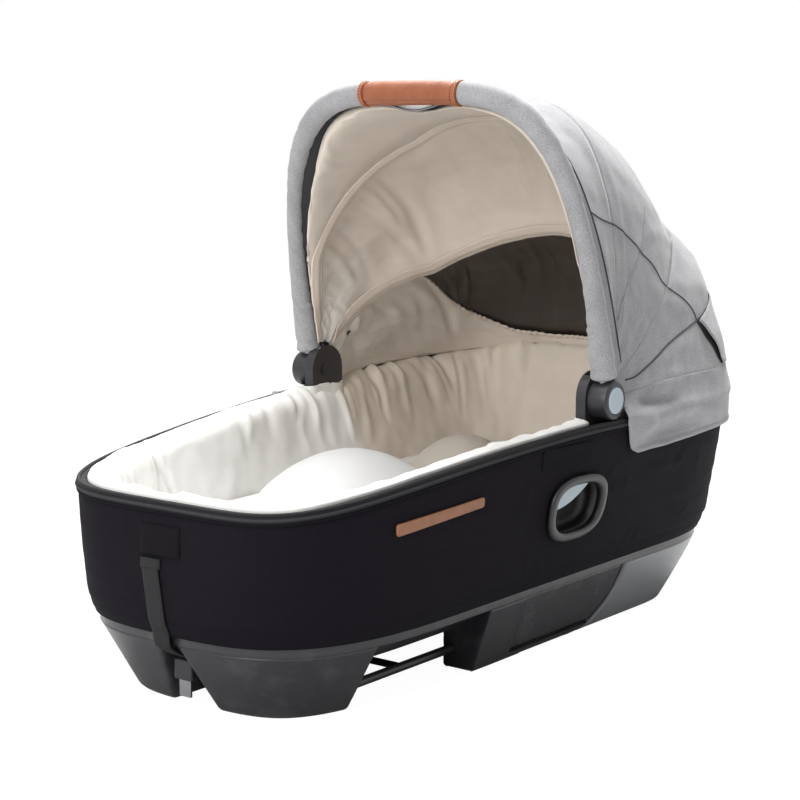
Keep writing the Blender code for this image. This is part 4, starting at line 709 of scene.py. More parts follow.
# The fabric side: height by station, with faint ripples and folds, a stitched hem below and a tuck above
def makeCover():
    u = np.arange(stationCount, dtype=float)
    share = np.linspace(0, 1, cover["rows"])[None]
    low, high = baseZ - cover["hemDrop"], rimAt(u)[:, None] - cover["bandDrop"]
    z = low + (high - low) * share
    along = u[:, None] * stationStep + 0 * z
    ripple = cover["ripple"] * softNoise(along, z * 3.0, 5, cover["rippleWave"]) * np.sin(np.pi * share)
    draw = np.random.default_rng(21)
    folds = []
    for _ in range(cover["foldCount"]):
        spot, tall = draw.uniform(0, stationCount * stationStep), draw.uniform(*cover["foldHeight"])
        top = cover["foldTops"][0 if draw.random() < 0.6 else 1]
        end = spot + draw.uniform(-cover["foldLean"], cover["foldLean"])
        rise, wide = draw.uniform(*cover["foldRise"]), draw.uniform(*cover["foldWidth"])
        folds.append((spot, top, end, top - tall, rise, wide))
    ripple = ripple + creases(along, z, folds)
    hem = cover["hemRise"] * bell(z - baseZ, cover["hemAt"], cover["hemWidth"])
    hem = hem - cover["seamDepth"] * bell(z - baseZ, cover["seamAt"], cover["seamWidth"])
    tuck = -cover["tuckDepth"] * bell(high - z, 0, cover["tuckWidth"])
    points = sidePoint(u[:, None], z, ripple + hem + tuck)
    mesh = gridMesh("sideCover", points, loopRows=True)
    thing = place("sideCover", mesh, "sideCloth", "cot", "dark_fabric", ("side_cover",))
    openHoles(mesh, handle["openShare"])
    measured(mesh)
    wall = thing.modifiers.new("thickness", "SOLIDIFY")
    wall.thickness, wall.offset = cover["thick"], -1


# Takes out the faces that lie inside the handle openings, up to a share of the mouth's size
def openHoles(mesh, limit):
    work = bmesh.new()
    work.from_mesh(mesh)
    inside = []
    for face in work.faces:
        middle = face.calc_center_median()
        if abs(middle.x - handle["x"]) < 0.07 and ovalShare(middle.x, middle.z) < limit:
            inside.append(face)
    bmesh.ops.delete(work, geom=inside, context="FACES")
    work.to_mesh(mesh)
    work.free()


zipParts = dict(
    # out from the rim and height over it; the cords have a radius too
    tape=((0.0006, -0.0102), (0.0012, -0.0085), (0.0012, -0.0030), (0.0004, -0.0012),
          (-0.0095, -0.0008), (-0.0095, -0.0022), (-0.0014, -0.0030), (-0.0014, -0.0102)),
    piping=(-0.0008, -0.0012, 0.0024), coil=(0.0016, -0.0058, 0.0016), lowerPiping=(0.0004, -0.0108, 0.0016),
)
makeCover()
rimSweep("zipTapeUpper", zipParts["tape"], "zipTape", "zip_tape", ("rim_band",))
rimSweep("rimPiping", roundProfile(*zipParts["piping"]), "zipTape", "zip_tape")
rimSweep("zipCoil", roundProfile(*zipParts["coil"]), "bindingCloth", "zip_tape")
rimSweep("lowerPiping", roundProfile(*zipParts["lowerPiping"]), "sideCloth", "dark_fabric")
print("side cover and zip made")

# Padded lining
lining = dict(
    rows=84, thick=0.0012,
    # over the padded edge: out from the rim, height over it, share of the crest
    roll=((-0.0064, -0.030, 0), (-0.0066, -0.011, 0), (-0.0098, -0.0035, 0.0), (-0.0100, 0.0, 0.55),
          (-0.0130, 0.0012, 0.9), (-0.0200, 0.0015, 1.08), (-0.0300, -0.001, 0.95), (-0.0385, -0.008, 0.4),
          (-0.0425, -0.022, 0)),
    # down the wall: out from the rim, share of the way up from wallLow
    wall=((-0.0450, 0.66), (-0.0475, 0.33), (-0.0485, 0.0)), wallLow=0.150, bedOut=-0.0485, bedZ=0.131,
    crestLow=0.0030, crestHigh=0.0115, crestHead=0.026, crestFrom=hingeX + 0.045, crestTo=hingeX + 0.100,
    foldCount=170, foldStart=(0.03, 0.06), foldDrop=(0.04, 0.10), foldLean=(-0.03, 0.03),
    foldRise=(-0.0062, 0.0056), foldWidth=(0.003, 0.010), puff=0.0034, puffWave=0.11, ripple=0.0012,
    rippleWave=0.035, lugX=hingeX + 0.0045, lugHalf=0.0300, lugEase=0.012, lugInner=0.1930, lugRoom=0.05,
)


# How far the padded edge stands over the rim: low at the sides, higher round the head
def crestAt(x, y):
    raised = np.interp(x, (lining["crestFrom"], lining["crestTo"]), (lining["crestLow"], lining["crestHigh"]))
    middle = 1 - np.minimum(np.abs(y) / cot["rimHeadHalf"], 1)
    more = lining["crestHead"] - lining["crestHigh"]
    return raised + more * np.minimum(1, middle * 2) * (x > lining["crestTo"])


# The padded edge and inner wall: a smooth profile from behind the zip, over the roll and down to the bed
def makeLining():
    u = np.arange(stationCount, dtype=float)
    rim = rimZ[:, None]
    crest = crestAt(rimLine[:, 0], rimLine[:, 1])[:, None]
    outs = np.array([knot[0] for knot in lining["roll"] + lining["wall"]] + [lining["bedOut"]])
    over = np.concatenate([rim + lift + share * crest for _, lift, share in lining["roll"]], 1)
    shares = np.array([share for _, share in lining["wall"]])[None]
    down = shares * (over[:, -1:] - lining["wallLow"]) + lining["wallLow"]
    heights = np.concatenate([over, down, np.full((stationCount, 1), lining["bedZ"])], 1)
    knots = np.stack([np.broadcast_to(outs[None], heights.shape), heights], -1).transpose(1, 0, 2)
    lines = smoothLine(knots.reshape(len(outs), -1), lining["rows"])
    out, z = lines.reshape(lining["rows"], stationCount, 2).transpose(2, 1, 0)
    points = sidePoint(u[:, None], z, out)
    around = u[:, None] * stationStep + 0 * z
    downSteps = np.zeros(z.shape)
    downSteps[:, 1:] = np.cumsum(np.linalg.norm(np.diff(points, axis=1), axis=2), 1)
    visible = np.clip((downSteps - 0.026) / 0.02, 0, 1)
    draw = np.random.default_rng(7)
    folds = []
    whole = stationCount * stationStep
    for _ in range(lining["foldCount"]):
        spot, start = draw.uniform(0, whole), draw.uniform(*lining["foldStart"])
        drop, lean = draw.uniform(*lining["foldDrop"]), draw.uniform(*lining["foldLean"])
        rise, wide = draw.uniform(*lining["foldRise"]), draw.uniform(*lining["foldWidth"])
        folds.append((spot, start, spot + lean, start + drop, rise, wide))
    relief = creases(around, downSteps, folds)
    relief = relief + lining["puff"] * softNoise(around, downSteps * 0.8, 9, lining["puffWave"])
    relief = relief + lining["ripple"] * softNoise(around, downSteps, 12, lining["rippleWave"])
    normal = normalsOf(points, loopRows=True)
    inward = np.sign((normal[..., 0] * sideOut[:, None, 0] + normal[..., 1] * sideOut[:, None, 1]).mean())
    points = points - normal * inward * (relief * visible)[..., None]
    fromLug = lining["lugHalf"] + lining["lugEase"] - np.abs(points[..., 0] - lining["lugX"])
    near = np.clip(fromLug / lining["lugEase"], 0, 1)
    limit = lining["lugInner"] + (1 - near * near * (3 - 2 * near)) * lining["lugRoom"]  # clear of the lugs
    points[..., 1] = np.clip(points[..., 1], -limit, limit)
    mesh = gridMesh("cotLining", points, loopRows=True)
    thing = place("cotLining", mesh, "cotLining", "cot", "lining_fabric", ("liner",), thick=lining["thick"])


makeLining()
print("lining made")

# Mattress and pads
pads = dict(
    sleepZ=0.165, crown=0.9, power=2.4, voxel=0.005, cap=0.006, seat=0.0004,
    # the mattress's edge: in from the side, height
    rim=((0.056, 0.1304), (0.0505, 0.134), (0.0495, 0.142), (0.0495, 0.154), (0.0510, 0.160),
         (0.0560, 0.1638), (0.0700, 0.1652), (0.1000, 0.1656)),
    body=dict(middle=-0.142, reach=0.119, half=0.100, height=0.0625),
    head=dict(middle=0.077, reach=0.072, half=0.073, height=0.0530),
)


# A dome: superellipse rings, each at a height that falls with the square of its share of the reach
def padPoints(middle, reach, half, height, rings=30, count=96):
    share = np.cos(np.linspace(0, np.pi / 2, rings))[:, None]
    share[-1] = 0.012
    angle = 2 * np.pi * np.arange(count)[None] / count
    c, s = np.cos(angle), np.sin(angle)
    x = middle + reach * share * np.sign(c) * np.abs(c) ** (2 / pads["power"])
    y = half * share * np.sign(s) * np.abs(s) ** (2 / pads["power"])
    z = pads["sleepZ"] + 0.0006 + height * (1 - share ** 2) ** pads["crown"] + 0 * angle
    return np.stack([x, y, z], -1)


# Swells a closed pad with Blender's cloth under pressure, each point held to a cap, then smooths it once
def puff(thing, voxel, cap, pressure=4.0):
    before = bpy.context.scene.frame_current
    bpy.ops.object.select_all(action="DESELECT")
    thing.select_set(True)
    bpy.context.view_layer.objects.active = thing
    thing.data.remesh_voxel_size = voxel
    bpy.ops.object.voxel_remesh()
    rest = np.zeros(len(thing.data.vertices) * 3, np.float32)
    thing.data.vertices.foreach_get("co", rest)
    cloth = thing.modifiers.new("cloth", "CLOTH")
    cloth.settings.use_pressure = True
    cloth.settings.uniform_pressure_force = pressure
    cloth.settings.effector_weights.gravity = 0
    cloth.settings.quality = 4
    cloth.collision_settings.use_collision = False
    for step in range(1, 21):
        bpy.context.scene.frame_set(step)
    graph = bpy.context.evaluated_depsgraph_get()
    swollen = np.zeros(len(rest), np.float32)
    thing.evaluated_get(graph).data.vertices.foreach_get("co", swollen)
    thing.modifiers.remove(cloth)
    move = (swollen - rest).reshape(-1, 3)
    size = np.linalg.norm(move, axis=1, keepdims=True)
    move *= np.minimum(1, cap / np.maximum(size, 1e-9))
    thing.data.vertices.foreach_set("co", (rest.reshape(-1, 3) + move).astype(np.float32).ravel())
    thing.data.shade_smooth()
    thing.data.update()
    bpy.context.scene.frame_set(before)


def makePad(name, values, finish, node):
    points = padPoints(**values)
    mesh = gridMesh(name, points, loopCols=True, caps=True)
    thing = bpy.data.objects.new(name, mesh)
    bpy.context.scene.collection.objects.link(thing)
    mesh.materials.append(finishes[finish])
    puff(thing, pads["voxel"], pads["cap"])
    co = np.zeros(len(mesh.vertices) * 3, np.float32)
    thing.data.vertices.foreach_get("co", co)
    co = co.reshape(-1, 3)
    co[:, 2] = np.maximum(co[:, 2], pads["sleepZ"] + pads["seat"])
    thing.data.vertices.foreach_set("co", co.ravel())
    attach(thing, "cot")
    fine = thing.modifiers.new("smoothing", "SUBSURF")
    fine.levels = fine.render_levels = 1
    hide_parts(node)


# The mattress: the cot's plan outline, inset, with rolled edges
def makeMattress():
    u = np.arange(0, stationCount, 2.0)
    inset = smoothLine(pads["rim"], 24)
    points = sidePoint(u[None], inset[:, 1][:, None], -inset[:, 0][:, None])
    mesh = gridMesh("mattressCover", points, loopCols=True, caps=True, flip=True)
    thing = place("mattressCover", mesh, "padCloth", "cot", "pad_fabric", ("mattress", "foam_base"))


makeMattress()
makePad("bodyPad", pads["body"], "padCloth", "body_pad")
makePad("headPad", pads["head"], "headPadCloth", "head_pad")
print("pads made")

# Bow, sleeves and grip
bow = dict(
    half=0.2175, height=0.3497, leg=0.0230, powerY=4.06, powerH=2.85, lean=-12.2,
    sleeveFoot=0.0240, sleeveBack=0.0020, flareRun=0.250, flarePower=1.2, gripHalf=0.0625,
    # the sleeve's radius at heights over the hinge
    sleeveAt=(0.0, 0.03, 0.05, 0.10, 0.16, 0.22, 0.27, 0.32, 0.36),
    sleeveRadius=(0.0150, 0.0145, 0.0142, 0.0118, 0.0101, 0.0097, 0.0114, 0.0132, 0.0134),
    # its gathers: from and to as distance from the foot and place round it, height, width
    gathers=((0.055, 0.0, 0.062, 0.075, 0.0014, 0.0028), (0.066, 0.02, 0.060, 0.07, -0.0012, 0.0030),
             (0.078, 0.01, 0.073, 0.05, 0.0009, 0.0030), (0.150, 0.02, 0.156, 0.06, 0.0008, 0.0040),
             (0.240, 0.00, 0.250, 0.05, 0.0008, 0.0040), (0.270, 0.02, 0.262, 0.07, -0.0008, 0.0040)),
    ripple=0.0006, rippleWave=0.02, hemRise=0.0008, hemAt=0.004, hemWidth=0.004,
    seamDepth=0.0007, seamAt=0.0135, seamWidth=0.0014, footIn=0.30, footWidth=0.0014,
)
grip = dict(
    radius=0.0140, dip=0.0110, bandEnd=0.0700, gap=0.0003, collarRise=0.0008, collarRound=0.0016,
    # the seam under the grip: depth or height, turn about the bow, width of the turn
    seam=(0.0010, 4.15, 0.10), lip=(0.0005, 4.42, 0.16), ripple=0.0004, rippleWave=0.03,
    endIn=0.0012, endShare=0.012, stitchShares=(0.22, 0.78), stitchLift=0.0009,
    pitch=0.0034, stitch=0.0024, thread=0.0004,
)


# A point of the plane that leans about the hinge axis, moved along that plane's normal
def leaning(y, h, degrees, shift=0.0):
    turn = np.radians(degrees)
    y, h, turn, shift = np.broadcast_arrays(y, h, turn, shift)
    x = hingeX + np.sin(turn) * h + np.cos(turn) * shift
    z = hingeZ + np.cos(turn) * h - np.sin(turn) * shift
    return np.stack([x, y, z], -1)


# How much of the canopy's swing back at the hinge is left at a height over it
def flareShare(h):
    return np.clip(1 - np.maximum(h - bow["sleeveFoot"], 0) / bow["flareRun"], 0, 1) ** bow["flarePower"]


# (y, h) of a superellipse bow on straight legs, near leg to far leg, evenly spaced
def archLine(half, height, powerY, powerH, low, count, leg=0.0):
    start = math.asin((max(low - leg, 0) / (height - leg)) ** (powerH / 2))
    turn = np.linspace(start, math.pi - start, 1600)
    y = -half * np.sign(np.cos(turn)) * np.abs(np.cos(turn)) ** (2 / powerY)
    h = leg + (height - leg) * np.abs(np.sin(turn)) ** (2 / powerH)
    line = np.stack([y, h], 1)
    if low < leg:
        line = np.concatenate([[(-half, low)], line, [(half, low)]])
    return evenLine(line, count) if count else line


# A stretch of the bow's line between two sideways places, as points, outward directions and lengths
def bowStretch(lowY, highY, count):
    line = archLine(bow["half"], bow["height"], bow["powerY"], bow["powerH"], bow["sleeveFoot"], 0,
                    bow["leg"])
    keep = (line[:, 0] > lowY) & (line[:, 0] < highY)
    line = evenLine(line[keep], count)
    along = unit(np.gradient(line, axis=0))
    spots = leaning(line[:, 0], line[:, 1], bow["lean"])
    up = leaning(-along[:, 1], along[:, 0], bow["lean"]) - leaning(0.0, 0.0, bow["lean"])
    return spots, up, lengthAlong(spots)


# Rows of points lowered under the grip by each row's dip: a squared cosine across the middle
def underGrip(points, dips):
    y = points[..., 1]
    drop = np.cos(np.pi / 2 * np.clip(np.abs(y) / bow["gripHalf"], 0, 1)) ** 2 * np.asarray(dips)[:, None]
    return points - np.stack([0 * y, 0 * y, drop * (points[..., 2] > hingeZ + 0.2)], -1)


# A fabric sleeve on the bow's leg: a circle carried along it, gathered in the bends, hemmed at the foot
def makeSleeve(hand, side):
    middle = grip["bandEnd"] + grip["gap"]
    spots, up, steps = bowStretch(*((middle, 1.0) if side > 0 else (-1.0, -middle)), 230)
    turn = np.linspace(0, 2 * np.pi, 40, endpoint=False)[None]
    fromFoot = (steps if side < 0 else steps[-1] - steps)[:, None]
    gather = bow["ripple"] * softNoise(fromFoot + 0 * turn, np.sin(turn) * 0.01, 31 + side, bow["rippleWave"])
    gather = gather + creases(fromFoot + 0 * turn, turn * 0.012 + 0 * fromFoot, bow["gathers"])
    hem = bow["hemRise"] * bell(fromFoot, bow["hemAt"], bow["hemWidth"])
    hem = hem - bow["seamDepth"] * bell(fromFoot, bow["seamAt"], bow["seamWidth"])
    foot = 1 - bow["footIn"] * bell(fromFoot, 0, bow["footWidth"])
    across = np.cross(unit(np.gradient(spots, axis=0)), up)
    overHinge = (spots[:, 2] - hingeZ) / math.cos(math.radians(bow["lean"]))
    radius = np.interp(overHinge, bow["sleeveAt"], bow["sleeveRadius"])[:, None]
    radius = (radius + gather + hem) * foot
    spots = spots + leaning(0.0, 0.0, bow["lean"], bow["sleeveBack"]) - leaning(0.0, 0.0, bow["lean"])
    points = spots[:, None] + up[:, None] * (radius * np.cos(turn))[..., None]
    points = points + across[:, None] * (radius * np.sin(turn))[..., None]
    mesh = gridMesh("bowSleeve_" + hand, points, loopCols=True, caps=True, flip=True)
    place("bowSleeve_" + hand, mesh, "canopyCloth", "bow", "canopy_fabric", ("bow_sleeve_" + hand,))


# The leather grip: a round wrap pinched along its seam, two raised collars, and stitches beside each edge
def makeGrip():
    spots, up, steps = bowStretch(-bow["gripHalf"], bow["gripHalf"], 90)
    turn = np.linspace(0, 2 * np.pi, 48, endpoint=False)[None]
    s = (steps / steps[-1])[:, None]
    (depth, seamAt, seamWidth), (rise, lipAt, lipWidth) = grip["seam"], grip["lip"]
    seam = -depth * bell(turn, seamAt, seamWidth) + rise * bell(turn, lipAt, lipWidth)
    wave = grip["ripple"] * softNoise(s * 0.13, turn * 0.014, 3, grip["rippleWave"])
    ends = -grip["endIn"] * (bell(s, 0, grip["endShare"]) + bell(1 - s, 0, grip["endShare"]))
    points = tubePoints(spots, up, 1.0, 48)
    points = spots[:, None] + (points - spots[:, None]) * (grip["radius"] + seam + wave + ends)[..., None]
    mesh = gridMesh("gripWrap", points, loopCols=True, caps=True, flip=True)
    place("gripWrap", mesh, "tanLeather", "bow", "leather", ("handle_grip",))
    for hand, side in hands:
        low, high = sorted((side * (bow["gripHalf"] + grip["gap"]), side * grip["bandEnd"]))
        spots, up, steps = bowStretch(low, high, 16)
        s = steps / steps[-1]
        rounded = grip["collarRound"] * (bell(s, 0, 0.09) + bell(1 - s, 0, 0.09))
        radius = grip["radius"] + grip["collarRise"] - rounded
        points = tubePoints(spots, up, radius, 48)
        mesh = gridMesh("gripCollar_" + hand, points, loopCols=True, caps=True, flip=True)
        place("gripCollar_" + hand, mesh, "tanLeather", "bow", "leather", ("grip_band_" + hand,))
        ringTurn = np.linspace(0, 2 * np.pi, 61)[:, None]
        across = np.cross(unit(spots[-1] - spots[0]), up[8])
        lift = up[8] * np.cos(ringTurn) + across * np.sin(ringTurn)
        for tag, share in zip(("inner", "outer"), grip["stitchShares"]):
            ring = spots[0] + (spots[-1] - spots[0]) * share + lift * (grip["radius"] + grip["stitchLift"])
            thread = stitchMesh("collarStitches", ring, lift, grip["pitch"], grip["stitch"], grip["thread"])
            place(f"collarStitches_{hand}_{tag}", thread, "stitchThread", "bow", "leather")


for hand, side in hands:
    makeSleeve(hand, side)
makeGrip()
print("bow dressed")

# Canopy
canopy = dict(
    frontRows=18, middleRows=34, rearRows=30, columns=150, cloth=0.0010, half=0.2155, powerY=3.2, powerH=2.6,
    frontInset=0.0100, frontDrop=0.0040, midDeg=10.0, rearDeg=54.0, midHeight=0.3480, rearHeight=0.3440,
              crown=0.0007,
    frontLow=0.028, midLow=0.031, rearLow=0.030, midFlare=0.0160, shift=0.0275, frontFlare=0.0135,
    frontCrown=-0.0099, bulge=0.060, bulgeRise=-0.12, bulgeAt=(0, 0.07, 0.15, 0.3, 0.43, 0.66, 0.85, 1),
    bulgeShare=(0, 0.79, 1.01, 1.12, 0.83, 0.36, 0.16, 0), frontEase=1.6, easings=6, relief=0.0032,
    # its folds and waves, over a cloth of deep by wide: counts, heights as shares of the relief, widths
    deep=0.62, wide=0.95, foldCount=26, foldShares=(-0.5, 0.8), foldWidth=(0.008, 0.022),
    waveShares=(0.55, 0.2), waves=(0.14, 0.05),
    skirtTopX=hingeX + 0.024, skirtTopZ=0.3000, skirtTopFrontZ=0.2900, skirtFrontHalf=0.2170, skirtEase=0.110,
    skirtHemX=hingeX + 0.0510, skirtLowX=hingeX + 0.0235, hemZ=0.2210, hemHeadZ=0.2330, flare=0.0040,
              topIn=0.004,
)


# The line where the rear gore meets the skirt, from the near front round the head to the far front
def skirtTop(count):
    first, last = (stationAt(canopy["skirtTopX"], side, cot["rimHeadZ"]) for side in (-1, 1))
    share = np.linspace(0, 1, 1200)
    u = first + (last - first) * share
    around = 1 - np.abs(2 * share - 1)
    spot = sidePoint(u, np.full(len(u), cot["rimHeadZ"]), canopy["flare"] * around - canopy["topIn"])
    ease = np.clip((spot[:, 0] - canopy["skirtTopX"]) / canopy["skirtEase"], 0, 1)
    ease = ease * ease * (3 - 2 * ease)
    half = canopy["skirtFrontHalf"] + (np.abs(spot[:, 1]) - canopy["skirtFrontHalf"]) * ease
    y = np.where(np.abs(spot[:, 1]) > canopy["skirtFrontHalf"] * 0.8, np.sign(spot[:, 1]) * half, spot[:, 1])
    z = canopy["skirtTopFrontZ"] + (canopy["skirtTopZ"] - canopy["skirtTopFrontZ"]) * ease
    return evenLine(np.stack([spot[:, 0], y, z], 1), count)


# Canopy rows between two lines of (degrees, half, height, powers, low, shift, flare, swing, run, cap).
# The height swells between them by the crown; a line's foot moves back by its flare and forward by its
# swing.
def rowsBetween(start, end, count, crown, columns):
    rows = []
    for share in np.linspace(0, 1, count):
        mixed = (a + (b - a) * share for a, b in zip(start, end))
        degrees, half, height, powerY, powerH, low, shift, flare, swing, run, cap = mixed
        height += crown * math.sin(math.pi * share)
        line = archLine(half, height, powerY, powerH, low, columns)
        h = line[:, 1]
        lean = degrees - swing * np.minimum(np.clip(1 - h / run, 0, 1), cap)
        rows.append(leaning(line[:, 0], h, lean, shift + flare * flareShare(h)))
    return np.array(rows)


frontLine = (
    bow["lean"], bow["half"], bow["height"] - canopy["frontInset"], bow["powerY"], bow["powerH"],
    canopy["frontLow"], canopy["shift"], canopy["frontFlare"], 0, 1, 1,
)


# The rows behind the bow lowered away from the legs, each row by its share
def frontDropped(points, shares):
    away = np.clip((0.196 - np.abs(points[..., 1])) / 0.055, 0, 1) * (points[..., 2] > hingeZ + 0.15)
    drop = canopy["frontDrop"] * away * away * (3 - 2 * away) * shares[:, None]
    return points - np.stack([0 * away, 0 * away, drop], -1)


# The whole outer surface behind the bow as one grid, its three gores joined and eased over the ribs
def outerSheet():
    columns = canopy["columns"]
    powers = (canopy["powerY"], canopy["powerH"])
    middle = (canopy["midDeg"], canopy["half"], canopy["midHeight"], *powers, canopy["midLow"],
              0, canopy["midFlare"], 0, 1, 1)
    rear = (canopy["rearDeg"], canopy["half"], canopy["rearHeight"], *powers, canopy["rearLow"],
            0, 0, 0, 1, 1)
    first = rowsBetween(frontLine, middle, canopy["frontRows"] + 1, canopy["frontCrown"], columns)
    first = frontDropped(first, np.linspace(1, 0, len(first)) ** canopy["frontEase"])
    second = rowsBetween(middle, rear, canopy["middleRows"] + 1, canopy["crown"], columns)
    top = skirtTop(columns)
    v = np.linspace(0, 1, columns)
    third = []
    for down in np.linspace(0, 1, canopy["rearRows"] + 1):
        bulge = np.interp(down, canopy["bulgeAt"], canopy["bulgeShare"])
        swell = (canopy["bulge"] * np.sin(np.pi * v) * bulge)[:, None] * np.array((1, 0, canopy["bulgeRise"]))
        third.append(second[-1] * (1 - down) + top * down + swell)
    sheet = np.concatenate([first, second[1:], np.array(third)[1:]])
    eased = sheet.copy()
    for _ in range(canopy["easings"]):
        eased[1:-1] = eased[1:-1] * 0.5 + (eased[:-2] + eased[2:]) * 0.25
    return eased


# Soft unevenness and a few long folds on a canopy sheet, along its normals, none at its free ends
def dressSheet(points, seed, size):
    rows, columns = points.shape[:2]
    deep, wide = canopy["deep"], canopy["wide"]
    a = np.linspace(0, 1, rows)[:, None] * deep
    b = np.linspace(0, 1, columns)[None] * wide
    draw = np.random.default_rng(seed)
    folds = []
    for _ in range(canopy["foldCount"]):
        side = draw.choice((0.0, wide))
        start = abs(side - draw.uniform(0.03, 0.3))
        fromA, toA = draw.uniform(0.03, 0.58), draw.uniform(0.03, 0.58)
        end = abs(side - draw.uniform(0.08, 0.40))
        height = draw.uniform(*canopy["foldShares"]) * size
        folds.append((fromA, start, toA, end, height, draw.uniform(*canopy["foldWidth"])))
    relief = creases(a, b, folds)
    for k, (share, wave) in enumerate(zip(canopy["waveShares"], canopy["waves"])):
        relief = relief + size * share * softNoise(a, b, seed + 1 + k, wave)
    endFade = np.clip(np.minimum(a / 0.02, (deep - a) / 0.02), 0, 1)
    return relief * (endFade * np.clip(np.minimum(b, wide - b) / 0.03, 0, 1))


outerPoints = outerSheet()
outerNormal = normalsOf(outerPoints)
outerSign = np.sign(outerNormal[..., 2].mean())
outerNormal = outerNormal * outerSign
outerPoints = outerPoints + outerNormal * dressSheet(outerPoints, 40, canopy["relief"])[..., None]
frontEnd, middleEnd = canopy["frontRows"], canopy["frontRows"] + canopy["middleRows"]
stretches = (
    ("canopyFront", 0, frontEnd, ("bow", "mid_rib"), ("canopy_front",)),
    ("canopyMiddle", frontEnd, middleEnd, ("mid_rib", "rear_rib"), ("canopy_middle",)),
    ("canopyRear", middleEnd, len(outerPoints) - 1, ("rear_rib", "cot"), ("canopy_rear",)),
)
for name, low, high, bodies, replaced in stretches:
    part = outerPoints[low:high + 1]
    mesh = gridMesh(name, part, flip=outerSign < 0)
    rows = np.linspace(0, 1, len(part))
    thing = place(name, mesh, "canopyCloth", bodies, "canopy_fabric", replaced, canopy["cloth"], rows=rows)
    asSheet(thing)
print("canopy made")


skirt = dict(
    columns=200, rows=40, deep=0.082, thick=0.0014, ripple=0.0016, rippleWave=0.09,
    # guide lines from the hem up: x at the front, out from the side, then a share of the way from hem to
    # rim, or a height over the rim
    guides=((canopy["skirtHemX"], 0.0060, 0.0, None), (canopy["skirtLowX"] + 0.012, 0.0050, 0.2, None),
            (canopy["skirtLowX"], 0.0034, None, -0.010), (canopy["skirtLowX"] - 0.004, 0.0034, None, 0.002)),
    # dents near each front end: height and distance in at the start and at the end, depth, width
    dents=((0.034, 0.012, 0.038, 0.060, 0.0130, 0.014), (0.068, 0.030, 0.056, 0.12, -0.0150, 0.014),
           (0.018, 0.03, 0.026, 0.16, -0.0080, 0.011), (0.046, 0.09, 0.030, 0.24, 0.0080, 0.016)),
    seamDepth=0.0010, seamAt=0.0110, seamWidth=0.0012, hemRise=0.0008, hemAt=0.005, hemWidth=0.005,
    fade=0.012,
)


# The skirt: five guide lines from hem to top, joined by smooth columns
def skirtPoints(columns, rows):
    share = np.linspace(0, 1, columns)
    around = 1 - np.abs(2 * share - 1)
    hem = canopy["hemZ"] + (canopy["hemHeadZ"] - canopy["hemZ"]) * around
    guides = []
    for startX, out, lift, over in skirt["guides"]:
        z = np.full(columns, cot["rimHeadZ"] + over) if lift is None else hem + (cot["rimHeadZ"] - hem) * lift
        first, last = (stationAt(startX, side, cot["rimHeadZ"]) for side in (-1, 1))
        u = first + (last - first) * share
        guides.append(sidePoint(u, z, out + canopy["flare"] * around * np.minimum(1, 2 * around)))
    guides.append(skirtTop(columns))
    guides = np.array(guides)
    steps = np.linalg.norm(np.diff(guides, axis=0), axis=2).mean(1)
    knots = np.concatenate([[0], np.cumsum(steps)])
    dense = smoothLine(guides.reshape(5, -1), 200).reshape(200, columns, 3)
    lengths = np.interp(np.linspace(0, 4, 200), np.arange(5), knots)
    wanted = np.linspace(0, knots[-1], rows)
    low = np.clip(np.searchsorted(lengths, wanted) - 1, 0, 198)
    part = ((wanted - lengths[low]) / np.maximum(lengths[low + 1] - lengths[low], 1e-9))[:, None, None]
    return dense[low] * (1 - part) + dense[low + 1] * part


# The skirt with its dents, its stitched hem and a faint ripple
def makeSkirt():
    points = skirtPoints(skirt["columns"], skirt["rows"])
    rows, columns = points.shape[:2]
    normal = normalsOf(points)
    sign = np.sign((normal[:, :, 1] * np.sign(points[:, :, 1])).mean())
    normal = normal * sign
    a = np.linspace(0, skirt["deep"], rows)[:, None]
    b = np.linspace(0, 1.0, columns)[None]
    dents = [(a0, start + b0 * turn, a1, start + b1 * turn, depth, wide)
             for start, turn in ((0.0, 1), (1.0, -1)) for a0, b0, a1, b1, depth, wide in skirt["dents"]]
    relief = creases(a, b, dents) + skirt["ripple"] * softNoise(a, b, 61, skirt["rippleWave"])
    relief = relief - skirt["seamDepth"] * bell(a, skirt["seamAt"], skirt["seamWidth"])
    relief = relief + skirt["hemRise"] * bell(a, skirt["hemAt"], skirt["hemWidth"])
    fade = np.clip((skirt["deep"] - a) / skirt["fade"], 0, 1)
    points = points + normal * (relief * fade)[..., None]
    mesh = gridMesh("canopySkirt", points, flip=sign < 0)
    thing = place("canopySkirt", mesh, "canopyCloth", "cot", "canopy_fabric", ("canopy_skirt",),
                  skirt["thick"])
    asSheet(thing)


makeSkirt()
print("skirt made")

